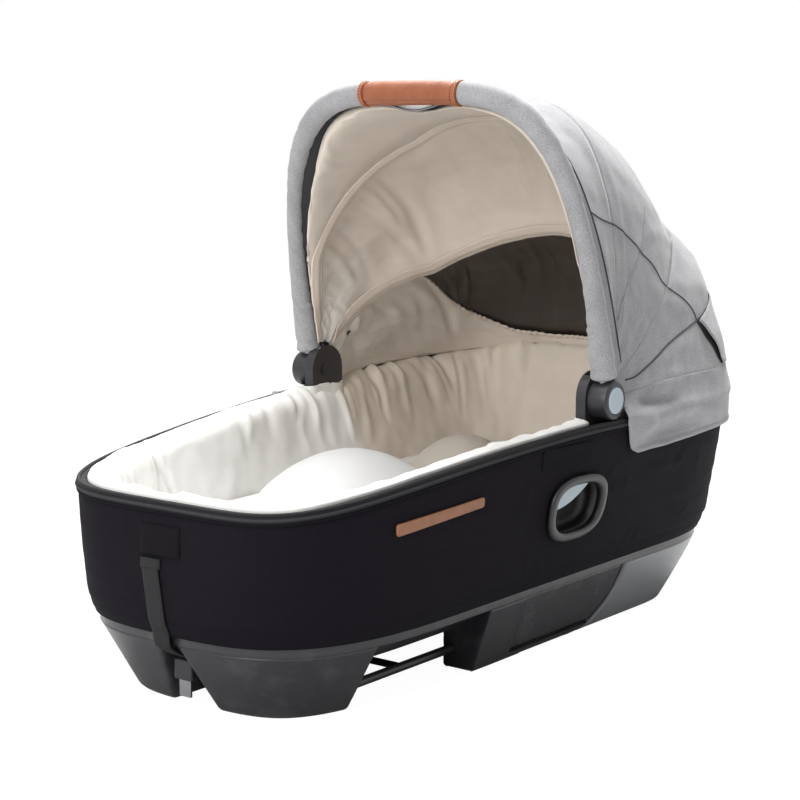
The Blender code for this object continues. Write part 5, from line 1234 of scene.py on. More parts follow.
# Canopy lining with its two bands, the mesh window and the dark front strip
inner = dict(
    front=(-11.5, 0.2095, 0.3375, 4.06, 2.85, 0.034, 0.0092, 0, 0, 1, 1),
    band1=(15.8, 0.2005, 0.3245, 2.46, 2.61, 0.038, 0.0, 0, 47.2, 0.2938, 0.52),
    band2=(53.0, 0.2005, 0.2852, 1.80, 2.26, 0.035, 0.0, 0, 26.5, 0.199, 0.744),
    frontRows=14, middleRows=32, rearRows=34, columns=180, tuck=0.0120, tuckRows=34, farIn=0.0100, farRows=20,
    frontCrown=0.002, middleCrown=0.010, backSwell=0.030, backLift=0.5, thick=0.0010,
    bottomX=hingeX + 0.030, bottomOut=-0.0185, bottomLift=0.001,
    # folds in each of the three stretches, their ends, heights and widths, and the waves
    foldCounts=(30, 60, 70), foldSpread=(0.02, 0.98), foldRun=(0.5, 0.98), foldLean=(-0.05, 0.05),
    foldRise=(-0.0078, 0.0066), foldWidth=(0.004, 0.012), puff=0.0036, puffWave=0.12, ripple=0.0012,
    rippleWave=0.04,
    # the mesh window: how far down the back panel it reaches, by distance from the middle
    meshAcross=(0, 0.036, 0.096, 0.153, 0.184, 0.22, 0.251, 0.266, 0.271, 0.275),
    meshDown=(0.948, 0.946, 0.941, 0.877, 0.789, 0.662, 0.471, 0.27, 0.074, 0),
    meshRows=16, meshSeat=0.002, meshLeast=0.004, elastic=0.0021, elasticPuckers=(0.0007, 0.0004),
    elasticCount=500, elasticSeat=0.001,
)


# Where the canopy's lining meets the cot's padded edge, round the head end
def liningBottom(count):
    first, last = (float(stationAt(inner["bottomX"], side, cot["rimHeadZ"])) for side in (-1, 1))
    u = np.linspace(first, last, 1200)
    spot = sidePoint(u, rimAt(u), inner["bottomOut"])
    spot[:, 2] = rimAt(u) + crestAt(spot[:, 0], spot[:, 1]) + inner["bottomLift"]
    return evenLine(spot, count)


# The far front edge of the lining drawn in from the bow, each row by its share
def farShifted(points, shares):
    points = points.copy()
    below = np.clip((hingeZ + 0.33 - points[..., 2]) / 0.08, 0, 1)
    points[..., 1] -= inner["farIn"] * shares[:, None] * np.clip(points[..., 1] / 0.1, 0, 1) * below
    return points


# The lining as one grid behind the front strip: two gores and a back panel that hangs to the padded edge
def innerSheet():
    columns = inner["columns"]
    first = rowsBetween(inner["front"], inner["band1"], inner["frontRows"] + 1, inner["frontCrown"], columns)
    second = rowsBetween(inner["band1"], inner["band2"], inner["middleRows"] + 1, inner["middleCrown"],
                         columns)
    bottom = liningBottom(columns)
    v = np.linspace(0, 1, columns)
    third = []
    for down in np.linspace(0, 1, inner["rearRows"] + 1):
        swell = (inner["backSwell"] * np.sin(np.pi * v) * math.sin(math.pi * down))[:, None]
        third.append(second[-1] * (1 - down) + bottom * down + swell * np.array((1, 0, inner["backLift"])))
    first = underGrip(first, grip["dip"] * np.linspace(1, 0, len(first)) ** 2)
    first = frontDropped(first, np.sin(np.pi * np.linspace(0, 1, len(first)) ** 0.6))
    sheet = np.concatenate([first, second[1:], np.array(third)[1:]])
    row = np.arange(len(sheet))
    tuck = inner["tuck"] * np.sin(np.pi * np.clip(row / inner["tuckRows"], 0, 1))[:, None]
    sheet[..., 1] -= tuck * np.clip(-sheet[..., 1] / 0.1, 0, 1)
    return farShifted(sheet, np.clip(1 - row / inner["farRows"], 0, 1))


# The lining's gores, its back panel cut round the mesh window, the mesh and the elastic along the cut
def makeInner():
    points = innerSheet()
    rows, columns = points.shape[:2]
    normal = normalsOf(points)
    sign = np.sign(normal[..., 2].mean())
    normal = -normal * sign
    a = np.linspace(0, 1, rows)[:, None]
    b = np.linspace(0, 1, columns)[None]
    draw = np.random.default_rng(77)
    folds = []
    first, second = inner["frontRows"] / (rows - 1), (inner["frontRows"] + inner["middleRows"]) / (rows - 1)
    for low, high, count in zip((0.0, first, second), (first, second, 1.0), inner["foldCounts"]):
        for _ in range(count):
            start = draw.uniform(*inner["foldSpread"])
            reach = low + (high - low) * draw.uniform(*inner["foldRun"])
            end = start + draw.uniform(*inner["foldLean"])
            rise, wide = draw.uniform(*inner["foldRise"]), draw.uniform(*inner["foldWidth"])
            folds.append((low + 0.01, start, reach, end, rise, wide))
    relief = creases(a, b, folds) + inner["puff"] * softNoise(a, b, 78, inner["puffWave"])
    relief = relief + inner["ripple"] * softNoise(a, b, 79, inner["rippleWave"])
    pinned = np.minimum(np.abs(a - first), np.abs(a - second)) / 0.02
    relief = relief * np.clip(pinned, 0.1, 1) * np.clip(np.minimum(a, 1 - a) / 0.03, 0, 1)
    nearFront = np.clip(-points[..., 1] / 0.08, 0, 1) * np.clip((0.5 - a) / 0.1, 0, 1)
    relief = relief * (1 - 0.85 * nearFront) * np.clip(a / 0.15, 0.1, 1)  # quiet where the sleeve hides it
    points = points + normal * relief[..., None]
    frontEnd, middleEnd = inner["frontRows"], inner["frontRows"] + inner["middleRows"]
    depth = np.interp(np.abs(b[0] - 0.5), inner["meshAcross"], inner["meshDown"])
    depth = np.convolve(np.pad(depth, 2, mode="edge"), (0.1, 0.2, 0.4, 0.2, 0.1), mode="valid") * (depth > 0)
    dressInner("liningFront", points[:frontEnd + 1], ("bow", "mid_rib"), sign)
    dressInner("liningMiddle", points[frontEnd:middleEnd + 1], ("mid_rib", "rear_rib"), sign)
    back = points[middleEnd:]

    # Points of the back panel at shares of the way down, for some of its columns
    def downAt(shares, chosen):
        spot = shares * (len(back) - 1)
        low = np.clip(spot.astype(int), 0, len(back) - 2)
        part = (spot - low)[..., None]
        column = chosen[None] + 0 * low
        return back[low, column] * (1 - part) + back[low + 1, column] * part

    lower = depth[None] + (1 - depth[None]) * np.linspace(0, 1, len(back))[:, None]
    clothRows = downAt(lower, np.arange(columns))
    dressInner("liningBack", clothRows, ("rear_rib", "cot"), sign, shares=lower)
    keep = np.where(depth > inner["meshLeast"])[0]
    window = depth[None, keep] * np.linspace(0, 1, inner["meshRows"])[:, None]
    meshRows = downAt(window, keep) - normal[middleEnd:middleEnd + 1, keep] * inner["meshSeat"]
    meshKind = ("meshCloth", "mesh_fabric", ("vent_mesh",))
    dressInner("meshWindow", meshRows, ("rear_rib", "cot"), sign, *meshKind, shares=window)
    count = inner["elasticCount"]
    edge = evenLine(clothRows[0, keep] + normal[middleEnd, keep] * inner["elasticSeat"], count)
    shares = np.interp(np.linspace(0, 1, count), np.linspace(0, 1, len(keep)), depth[keep])
    along = np.arange(count)
    slow, quick = inner["elasticPuckers"]
    wander = np.sin(along * 0.9 + 2.0 * np.sin(along * 0.11))
    radius = inner["elastic"] + slow * wander + quick * np.sin(along * 2.3)
    ring = tubePoints(edge, unit(evenLine(normal[middleEnd, keep], count)), 1.0, 12)
    ring = edge[:, None] + (ring - edge[:, None]) * radius[:, None, None]
    mesh = gridMesh("meshElastic", ring, loopCols=True, caps=True)
    place("meshElastic", mesh, "bandCloth", ("rear_rib", "cot"), "lining_fabric", rows=shares)
    return points, normal


# One sheet of the lining; shares give each point its own part of the turn, where its rows are uneven
def dressInner(name, points, bodies, sign, finish="canopyLining", slot="lining_fabric", replaced=(),
               shares=None):
    mesh = gridMesh(name, points, flip=sign > 0)
    rows = np.linspace(0, 1, len(points))
    thing = place(name, mesh, finish, bodies, slot, replaced, thick=inner["thick"], rows=rows)
    if shares is not None:
        mesh.attributes["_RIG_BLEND"].data.foreach_set("value", shares.astype(np.float32).ravel())
    asSheet(thing)


innerPoints, innerNormal = makeInner()
band = dict(
    wide=0.0092, tall=0.0011, stitchShare=0.62, stitchSeat=0.0015, pitch=0.0040, stitch=0.0027,
            thread=0.00035,
    # half of the tape's profile in shares of its width and height, from the middle out
    half=((0.35, 1.9), (0.5, 1.1), (0.8, 1.3), (1.0, 0.5), (1.0, -0.6)), ridge=2.3,
)


# The two tapes that cover the ribs inside: a low double ridge carried along each rib line
def makeBands():
    right = list(band["half"])
    across, rise = np.array([(-x, z) for x, z in right[::-1]] + [(0.0, band["ridge"])] + right).T
    bandTwoRow = inner["frontRows"] + inner["middleRows"]
    bandRows = (("liningBandOne", inner["frontRows"], "mid_rib"), ("liningBandTwo", bandTwoRow, "rear_rib"))
    for name, row, body in bandRows:
        centre, normal = innerPoints[row], innerNormal[row]
        down = unit(innerPoints[row + 1] - innerPoints[row - 1])
        points = centre[:, None] + down[:, None] * (across * band["wide"])[None, :, None]
        points = points + normal[:, None] * (rise * band["tall"])[None, :, None]
        mesh = gridMesh(name, points, loopCols=True, caps=True)
        place(name, mesh, "bandCloth", body, "lining_fabric")
        for tag, share in (("a", -band["stitchShare"]), ("b", band["stitchShare"])):
            line = centre + down * band["wide"] * share + normal * band["stitchSeat"]
            thread = stitchMesh(name, line, normal, band["pitch"], band["stitch"], band["thread"])
            place(f"{name}Stitches_{tag}", thread, "paleThread", body, "lining_fabric")


makeBands()
strips = dict(rows=9, thick=0.0010, under=0.0090, frontIn=0.0030, frontLow=0.030, sideIn=0.0020,
              sideLow=0.006)


# A strip's first line, under the bow: in from its legs, and down to a height over the hinge
def stripStart(inward, low):
    return (bow["lean"], bow["half"] - inward, bow["height"] - strips["under"], bow["powerY"], bow["powerH"],
            low, 0.0, 0, 0, 1, 1)


# The dark strip inside the bow, from the sleeve's inner edge to the lining
def makeFrontStrip():
    rows = strips["rows"]
    start = stripStart(strips["frontIn"], strips["frontLow"])
    points = rowsBetween(start, inner["front"], rows, 0, inner["columns"])
    points = farShifted(underGrip(points, np.full(rows, grip["dip"])), np.linspace(0, 1, rows))
    mesh = gridMesh("frontStrip", points, flip=normalsOf(points)[..., 2].mean() > 0)
    thing = place("frontStrip", mesh, "bindingCloth", "bow", "canopy_fabric", thick=strips["thick"])
    asSheet(thing)


# The grey strip from under the sleeves back to the piping, low under the grip
def makeSideStrip():
    rows = strips["rows"]
    start = stripStart(strips["sideIn"], canopy["frontLow"] - strips["sideLow"])
    points = rowsBetween(start, frontLine, rows, 0, canopy["columns"])
    points = underGrip(points, grip["dip"] * np.linspace(1, 0, rows))
    points = frontDropped(points, np.linspace(0, 1, rows) ** canopy["frontEase"])
    points[-1] = outerPoints[0]
    mesh = gridMesh("sideStrip", points, flip=normalsOf(points)[..., 2].mean() < 0)
    thing = place("sideStrip", mesh, "canopyCloth", "bow", "canopy_fabric", thick=strips["thick"])
    asSheet(thing)


makeFrontStrip()
makeSideStrip()
print("canopy lining made")

# Seams and piping on the canopy: (row, column share) along the outer grid
seams = dict(
    pipingRadius=0.0011, tonalRadius=0.0008, bowRadius=0.0013, bowRow=0.6, bowShare=0.004,
    lines=(
        ("diamondSeam", "pipingRadius", "pipingCloth",
         ((0.6, 0.2005), (8, 0.196), (18, 0.190), (27, 0.184), (34.8, 0.180), (42, 0.184), (49, 0.188),
          (57, 0.190), (64.7, 0.197))),
        ("ventSeam", "pipingRadius", "pipingCloth",
         ((64.7, 0.197), (65.4, 0.235), (66.4, 0.272), (67.2, 0.31))),
        ("rearSeam", "pipingRadius", "pipingCloth",
         ((64.7, 0.197), (63.9, 0.15), (63.7, 0.11), (66.6, 0.07), (68.8, 0.04), (67.0, 0.028),
          (64.7, 0.02))),
        ("sideSeam", "tonalRadius", "tonalCloth",
         ((37, 0.26), (36.0, 0.22), (34.8, 0.180), (28, 0.125), (20.5, 0.068))),
    ),
)


# Point and normal of the outer grid at fractional rows and column shares
def outerAt(row, share):
    row, share = np.broadcast_arrays(np.asarray(row, float), share)
    column = share * (canopy["columns"] - 1)
    r0 = np.clip(row.astype(int), 0, len(outerPoints) - 2)
    c0 = np.clip(column.astype(int), 0, canopy["columns"] - 2)
    r, c = (row - r0)[..., None], (column - c0)[..., None]

    def pick(grid):
        return (grid[r0, c0] * (1 - r) * (1 - c) + grid[r0 + 1, c0] * r * (1 - c)
                + grid[r0, c0 + 1] * (1 - r) * c + grid[r0 + 1, c0 + 1] * r * c)

    return pick(outerPoints), pick(outerNormal)


# A raised cord along the outer grid, cut where it crosses a rib so that each length folds with its gore
def seamOnCanopy(name, knots, radius, finish):
    line = evenLine(smoothLine(knots, 120), 240)
    for k, (_, low, high, bodies, _) in enumerate(stretches):
        keep = (line[:, 0] >= low - 1e-6) & (line[:, 0] <= high + 1e-6)
        if keep.sum() < 4:
            continue
        part = line[keep]
        spots, up = outerAt(part[:, 0], part[:, 1])
        points = tubePoints(spots, up, radius, 10)
        mesh = gridMesh(f"{name}_{k}", points, loopCols=True, caps=True)
        shares = (part[:, 0] - low) / (high - low)
        place(f"{name}_{k}", mesh, finish, bodies, "canopy_fabric", rows=shares)


for hand, side in hands:
    edge = (seams["bowShare"], 0.5) if side < 0 else (0.5, 1 - seams["bowShare"])
    spots, up = outerAt(np.full(60, seams["bowRow"]), np.linspace(*edge, 60))
    mesh = gridMesh("bowPiping", tubePoints(spots, up, seams["bowRadius"], 10), loopCols=True, caps=True)
    place("bowPiping_" + hand, mesh, "pipingCloth", "bow", "canopy_fabric")
for hand, side in hands:
    for tag, radius, finish, knots in seams["lines"]:
        knots = [(row, share if side < 0 else 1 - share) for row, share in knots]
        seamOnCanopy(f"{tag}_{hand}", knots, seams[radius], finish)
print("seams made")


# Rows and shares are those of the outer grid
flap = dict(topRow=64.9, lowRow=81.6, topShare=0.198, lowShare=0.240, seat=0.0015, lift=0.0060, thick=0.0012,
            rows=26, columns=90, sideShare=0.07, shadowFrom=-0.004, shadowTo=0.045, shadowColumns=8,
            shadowSeat=0.0007)


# The vent's flap: a sheet over the rear gore between two slanted edges, lifted off it along its sides
def makeVentFlap():
    row = np.linspace(flap["topRow"], flap["lowRow"], flap["rows"])
    down = (row - flap["topRow"]) / (flap["lowRow"] - flap["topRow"])
    edge = flap["topShare"] + (flap["lowShare"] - flap["topShare"]) * down
    across = np.linspace(0, 1, flap["columns"])[None]
    share = edge[:, None] + (1 - 2 * edge[:, None]) * across
    spots, up = outerAt(row[:, None] + 0 * share, share)
    edgeLift = 0.45 + 0.55 * np.exp(-np.minimum(across, 1 - across) / flap["sideShare"])
    lift = flap["seat"] + flap["lift"] * np.sin(np.pi * (0.12 + 0.80 * down))[:, None] * edgeLift
    points = spots + up * lift[..., None]
    mesh = gridMesh("ventFlap", points, flip=outerSign < 0)
    shares = (row - middleEnd) / canopy["rearRows"]
    bodies = ("rear_rib", "cot")
    thing = place("ventFlap", mesh, "canopyCloth", bodies, "canopy_fabric", ("vent_flap",), flap["thick"],
                  rows=shares)
    asSheet(thing)
    # Painted shadow: a strip of dark cloth laid on the gore under each side edge of the flap, where the
    # flap's shade falls
    under = edge[:, None] + np.linspace(flap["shadowFrom"], flap["shadowTo"], flap["shadowColumns"])[None]
    for hand, side in hands:
        spots, up = outerAt(row[:, None] + 0 * under, under if side < 0 else 1 - under)
        points = spots + up * flap["shadowSeat"]
        mesh = gridMesh("slitShadow_" + hand, points, flip=(outerSign < 0) == (side < 0))
        thing = place("slitShadow_" + hand, mesh, "bindingCloth", bodies, "canopy_fabric", rows=shares)
        asSheet(thing)


makeVentFlap()
print("vent flap made")

# Hinges
hinge = dict(
    hubInner=0.2069, hubOuter=0.2320, hubRadius=0.0220, boreRadius=0.0041, floor=0.0042, buttonRadius=0.0152,
    buttonProud=0.0015, buttonDeep=0.0080, buttonFace=0.0030, buttonWall=0.0012, buttonGap=0.0003, tip=0.0010,
)


# A profile of (radius, distance from the middle plane) turned about the hinge axis
def turnedPiece(name, profile, side, finish, body, slot, replaced=(), steps=96):
    radius, reach = np.array(profile, float).T
    turn = np.linspace(0, 2 * np.pi, steps, endpoint=False)[None]
    x = hingeX + radius[:, None] * np.cos(turn)
    z = hingeZ + radius[:, None] * np.sin(turn)
    points = np.stack([x, side * reach[:, None] + 0 * turn, z], -1)
    mesh = gridMesh(name, points, loopCols=True, caps=True, flip=side < 0)
    return place(name, mesh, finish, body, slot, replaced, sharp=40)


# The hub and the button as (radius, distance from the middle plane), from the bore out and back in
def hubProfile():
    r, inY, outY = hinge["hubRadius"], hinge["hubInner"], hinge["hubOuter"]
    mouth, bore = hinge["buttonRadius"] + hinge["buttonGap"], hinge["boreRadius"]
    return [
        (bore - 0.0001, inY), (r - 0.0012, inY), (r - 0.0003, inY + 0.0004), (r, inY + 0.0014),
        (r, outY - 0.0034), (r - 0.0006, outY - 0.0014), (r - 0.0020, outY - 0.0003), (r - 0.0034, outY),
        (mouth + 0.0009, outY), (mouth + 0.0002, outY - 0.0004), (mouth, outY - 0.0012),
        (mouth, inY + hinge["floor"]), (bore, inY + hinge["floor"]),
    ]


def buttonProfile():
    b, face = hinge["buttonRadius"], hinge["hubOuter"] + hinge["buttonProud"]
    within, back = b - hinge["buttonWall"], face - hinge["buttonFace"]
    foot = face - hinge["buttonDeep"]
    return [
        (hinge["tip"], back), (within, back), (within, foot), (b, foot), (b, face - 0.0020),
        (b - 0.0004, face - 0.0008), (b - 0.0014, face - 0.0002), (b - 0.0030, face), (0.0060, face - 0.0003),
        (hinge["tip"], face - 0.0004),
    ]


for hand, side in hands:
    hub, button = "bow_hub_" + hand, "hinge_button_" + hand
    turnedPiece("hubShell_" + hand, hubProfile(), side, "darkPlastic", "bow", "dark_plastic", (hub,))
    turnedPiece("hubButton_" + hand, buttonProfile(), side, "buttonPlastic", button, "button_plastic",
                (button,))
print("hinges made")

# Handles in the sides
# Ovals of (half x, half z, out) laid on the side, one after another
def sideRings(sections, side, count=handle["points"]):
    rings = []
    for halfX, halfZ, out in sections:
        x, z = ovalLine(halfX, halfZ, count)
        rings.append(onSide(x, z, out, side))
    return np.array(rings)


# The bezel's oval at a share of its width, 0 at the mouth
def bezelSize(share):
    return (handle["mouthHalfX"] + (handle["bezelHalfX"] - handle["mouthHalfX"]) * share,
            handle["mouthHalfZ"] + (handle["bezelHalfZ"] - handle["mouthHalfZ"]) * share)


for hand, side in hands:
    seat, rise, sunk = handle["seat"], handle["rise"], handle["sunk"]
    shape = [(1.0, seat - sunk)] + [(share, seat + rise * up) for share, up in handle["bezel"]]
    shape += [(0.0, -sunk), (0.05, -sunk), (0.06, seat - sunk)]
    points = sideRings([(*bezelSize(share), out) for share, out in shape], side)
    mesh = gridMesh("gripBezel_" + hand, points, loopRows=True, loopCols=True, flip=side > 0)
    place("gripBezel_" + hand, mesh, "bezelPlastic", "cot", "dark_plastic", ("handle_bezel_" + hand,))
    halfX, halfZ, depth = handle["mouthHalfX"], handle["mouthHalfZ"], handle["depth"]
    rings = [(halfX - inward, halfZ - inward, -depth * share) for inward, share in handle["cup"]]
    points = sideRings([(halfX, halfZ, -handle["wall"])] + rings, side)
    mesh = gridMesh("gripCup_" + hand, points, loopCols=True, flip=side > 0)
    closeRing(mesh, slice(-handle["points"], None), side > 0)
    place("gripCup_" + hand, mesh, "cupPlastic", "cot", "base_plastic", ("handle_cup_" + hand,),
          handle["wall"])
print("handles made")

# Leather tabs, patches, strap
tabs = dict(
    # a bar's foot end and head end, its half widths there, the corners' radius, points; then out from and to
    strip=(hingeX - 0.3510, 0.1950, hingeX - 0.2190, 0.2050, 0.0064, 0.0054, 0.0030, 200),
            stripOut=(0.0006, 0.0032),
    patch=(hingeX - 0.1225, 0.2348, hingeX - 0.0330, 0.2352, 0.0118, 0.0118, 0.0030, 160),
            patchOut=(0.0002, 0.0014),
    edge=0.0016,
    # on the foot end: first and last height, rows, middle, half width, out, thickness
    footPatch=(0.1680, 0.1980, 10, 0.0, 0.0275, 0.0006, 0.0014),
    strapLoop=(0.1535, 0.1640, 8, 0.0120, 0.0138, 0.0006, 0.0030),
)


# A flat piece with rounded edges laid on the side: the outline's rings shrink to its middle as they rise
def padOnSide(name, outlineX, outlineZ, low, high, side, finish, slot, replaced):
    cx, cz = outlineX.mean(), outlineZ.mean()
    tall = max(np.ptp(outlineZ), 1e-6) / 2
    rings = []
    edge = tabs["edge"]
    levels = ((0.0, low), (0.0, high - edge * 0.6), (edge * 0.25, high - edge * 0.2), (edge, high),
              (tall * 0.5, high), (tall * 0.92, high))
    for shrink, out in levels:
        x = cx + (outlineX - cx) * (1 - shrink / max(np.ptp(outlineX) / 2, 1e-6))
        z = cz + (outlineZ - cz) * (1 - shrink / tall)
        rings.append(onSide(x, z, out, side))
    mesh = gridMesh(name, np.array(rings), loopCols=True, caps=True, flip=side > 0)
    place(name, mesh, finish, "cot", slot, replaced)


# The outline of a bar between two points, as x and z: four arcs at its corners, evenly spaced
def roundedBar(x0, z0, x1, z1, half0, half1, radius, count):
    length, half = abs(x1 - x0), min(half0, half1)
    near, far, up = radius, length - radius, half - radius
    corners = []
    for k, (a, b) in enumerate(((far, up), (near, up), (near, -up), (far, -up))):
        turn = np.linspace(0, np.pi / 2, 12) + k * np.pi / 2
        corners.append(np.stack([a + radius * np.cos(turn), b + radius * np.sin(turn)], 1))
    line = np.concatenate(corners + [corners[0][:1]])
    line = evenLine(line, count + 1)[:-1]
    share = line[:, 0] / length
    wide = (half0 + (half1 - half0) * share) / half
    return x0 + (x1 - x0) * share, z0 + (z1 - z0) * share + line[:, 1] * wide


for hand, side in hands:
    strip = (*roundedBar(*tabs["strip"]), *tabs["stripOut"])
    patch = (*roundedBar(*tabs["patch"]), *tabs["patchOut"])
    padOnSide("leatherStrip_" + hand, *strip, side, "tabLeather", "leather", ("leather_tab_" + hand,))
    padOnSide("hingePatch_" + hand, *patch, side, "patchCloth", "webbing", ("side_patch_" + hand,))


# A patch on the foot end: even rows between two heights, its crown flat with rounded edges
def footBand(name, first, last, count, middle, half, out, thickness, finish, replaced):
    across = np.linspace(-1, 1, 13)[None]
    z = np.linspace(first, last, count)[:, None]
    crown = thickness * (1 - np.abs(across) ** 8 * 0.6)
    front = footPoint(middle + half * across, z + 0 * across, out + crown)
    back = footPoint(middle + half * across, z + 0 * across, out + 0 * across)
    points = np.concatenate([front, back[:, ::-1]], 1)
    mesh = gridMesh(name, points, loopCols=True, caps=True)
    place(name, mesh, finish, "cot", "webbing", replaced)


footBand("footPatch", *tabs["footPatch"], "patchCloth", ("foot_patch",))
footBand("strapLoop", *tabs["strapLoop"], "strapCloth", ("strap_loop",))

strap = dict(topZ=0.1560, straightZ=0.1520, lipZ=0.0745, bendReach=0.0146, bendZ=0.0640, endReach=0.0335,
             endZ=0.0535, endCorner=0.004, half=0.0115, side=0.0120, sway=1.5, thick=0.0016, easings=10)


# The webbing strap: close to the fabric, over the tray's lip, then in under the tray to its buckle
def makeStrap():
    hang = footX + cot["baseFootGap"] - strap["thick"]
    z = np.linspace(strap["topZ"], strap["lipZ"], 50)
    share = np.clip((z - strap["lipZ"]) / (strap["straightZ"] - strap["lipZ"]), 0, 1)
    middle = strap["side"] * share ** strap["sway"]
    x = np.where(z > baseZ, footPoint(middle, np.maximum(z, baseZ), strap["thick"])[:, 0], hang)
    end, corner = hang + strap["endReach"], strap["endCorner"]
    tail = [(hang + strap["bendReach"], 0, strap["bendZ"]), (end - corner, 0, strap["endZ"] + corner),
            (end, 0, strap["endZ"])]
    path = evenLine(np.concatenate([np.stack([x, middle, z], 1), tail]), 90)
    for _ in range(strap["easings"]):
        path[1:-1] = path[1:-1] * 0.5 + (path[:-2] + path[2:]) * 0.25
    along = np.gradient(path, axis=0)
    out = unit(np.stack([along[:, 2], 0 * along[:, 0], -along[:, 0]], 1))
    across = np.linspace(-1, 1, 13)
    crown = strap["thick"] * (1 - np.abs(across) ** 8 * 0.5)
    wide = path[:, None] + np.array((0, strap["half"], 0)) * across[None, :, None]
    front = wide + out[:, None] * crown[None, :, None]
    mesh = gridMesh("footStrap", np.concatenate([front, wide[:, ::-1]], 1), loopCols=True, caps=True,
                    flip=True)
    place("footStrap", mesh, "strapCloth", "cot", "webbing", ("foot_strap",))


makeStrap()
print("tabs, patches and strap made")

# Moulded base
base = dict(
    lip=0.005, lowZ=0.0745, podRearX=hingeX - 0.355, podDraft=0.041, notchLow=0.031, notchHigh=0.0125,
    skidFrontX=hingeX - 0.171, skidInner=0.118, skidDraft=0.026, arcX=hingeX + 0.024, arcLength=0.085,
    arcHeight=0.070, recessX=hingeX - 0.103, recessStep=0.0008, recessDepth=0.006, recessLow=0.008,
            nose=0.120,
    nosePower=1.8, round=0.005, split=0.0002, wall=0.0022, trayWall=0.0025, under=0.0003,
    # how far the corners of each foot are rounded
    podSpread=0.0055, skidSpread=0.0018, headSpread=0.0040,
    # the tray's underside: in from the base outline, height
    underIn=(0.005, 0.014, 0.035, 0.055), underZ=(0.0745, 0.0735, 0.0600, 0.0460),
    # the tray's section: in from the base outline, height
    tray=((-0.0002, 0.0884), (0.0040, 0.0881), (0.0050, 0.0868), (0.0050, 0.0800), (0.0052, 0.0758),
          (0.0062, 0.0746), (0.0140, 0.0736), (0.0350, 0.0601), (0.0550, 0.0461), (0.0750, 0.0460)),
    # the panel in the recess: gaps below, above, behind and at the ends
    panelLow=0.0020, panelHigh=0.0015, panelOut=0.0026, panelFront=0.002, panelRear=0.0012,
)
denseHalf = evenLine(baseLine[: halfCount + 1], 400)
denseAlong = np.gradient(denseHalf, axis=0)
denseOut = unit(np.stack([-denseAlong[:, 1], denseAlong[:, 0]], 1))


# The tray's underside: its height at a distance in from the base outline
def trayUnder(inset):
    return np.interp(inset, base["underIn"], base["underZ"]) - base["under"]


# How far a foot's side lies in from the base outline: the lip, then the draft down to the ground
def footInset(z, draft):
    return base["lip"] + draft * (1 - z / base["lowZ"])


# A closed ring of evenly spaced points, its corners rounded by a bell-shaped average of neighbours
def softRing(ring, spread):
    ring = evenLine(np.concatenate([ring, ring[:1]]), 361)[:-1]
    step = np.linalg.norm(np.diff(ring, axis=0), axis=1).mean()
    reach = np.arange(-40, 41)
    weight = np.exp(-(reach * step / spread) ** 2)
    weight /= weight.sum()
    return sum(w * np.roll(ring, int(k), 0) for k, w in zip(reach, weight))


# A foot pod's plan at a height: the base outline inset, cut at the notch and across its rear
def podRing(z):
    notch = base["notchLow"] + (base["notchHigh"] - base["notchLow"]) * z / base["lowZ"]
    edge = denseHalf - denseOut * footInset(z, base["podDraft"])
    edge = edge[(edge[:, 1] > notch) & (edge[:, 0] < base["podRearX"])]
    rear = [(base["podRearX"], edge[-1, 1]), (base["podRearX"], notch)]
    return np.concatenate([[(edge[0, 0], notch)], edge, rear])


# The split between skid and head block: a quarter ellipse
def arcAt(z):
    share = np.clip((base["arcHeight"] - z) / base["arcHeight"], 0, 1)
    return base["arcX"] + base["arcLength"] * np.sqrt(1 - share * share)


# A skid's plan at a height, with its recess for the panel
def skidRing(z):
    endX = arcAt(z) - base["split"]
    front = np.linspace(base["skidFrontX"], base["recessX"], 60)
    x = np.concatenate([front, np.linspace(base["recessX"] + base["recessStep"], endX, 120)])
    recess = np.where((x > base["recessX"]) & (z > base["recessLow"]), base["recessDepth"], 0)
    inset = footInset(z, base["skidDraft"]) + recess
    outer = np.stack([x, np.interp(x, denseHalf[:, 0], denseHalf[:, 1]) - inset], 1)
    return np.concatenate([outer, [(endX, base["skidInner"]), (base["skidFrontX"], base["skidInner"])]])


# The head block's plan at a height, its nose drawn in as it goes down
def headRing(z):
    startX = arcAt(z) + base["split"]
    pull = base["nose"] * max(1 - z / base["lowZ"], 0) ** base["nosePower"]
    edge = denseHalf - denseOut * footInset(z, base["skidDraft"]) - np.abs(denseOut) * np.array((pull, 0))
    edge = edge[(edge[:, 0] > startX) & (edge[:, 1] > 0)]
    half = np.concatenate([[(startX, edge[0, 1])], edge, [(edge[-1, 0], 0)]])
    return np.concatenate([half, (half * (1, -1))[-2::-1]])


# How far each plan point lies in from the base outline
def insetOf(points):
    spot = np.stack([points[:, 0], np.abs(points[:, 1])], 1)
    return np.array([np.min(np.hypot(*(denseHalf - p).T)) for p in spot])


# The signed area of a plan ring: positive when it runs anticlockwise
def ringArea(ring):
    return np.sum(ring[:, 0] * np.roll(ring[:, 1], -1) - np.roll(ring[:, 0], -1) * ring[:, 1])


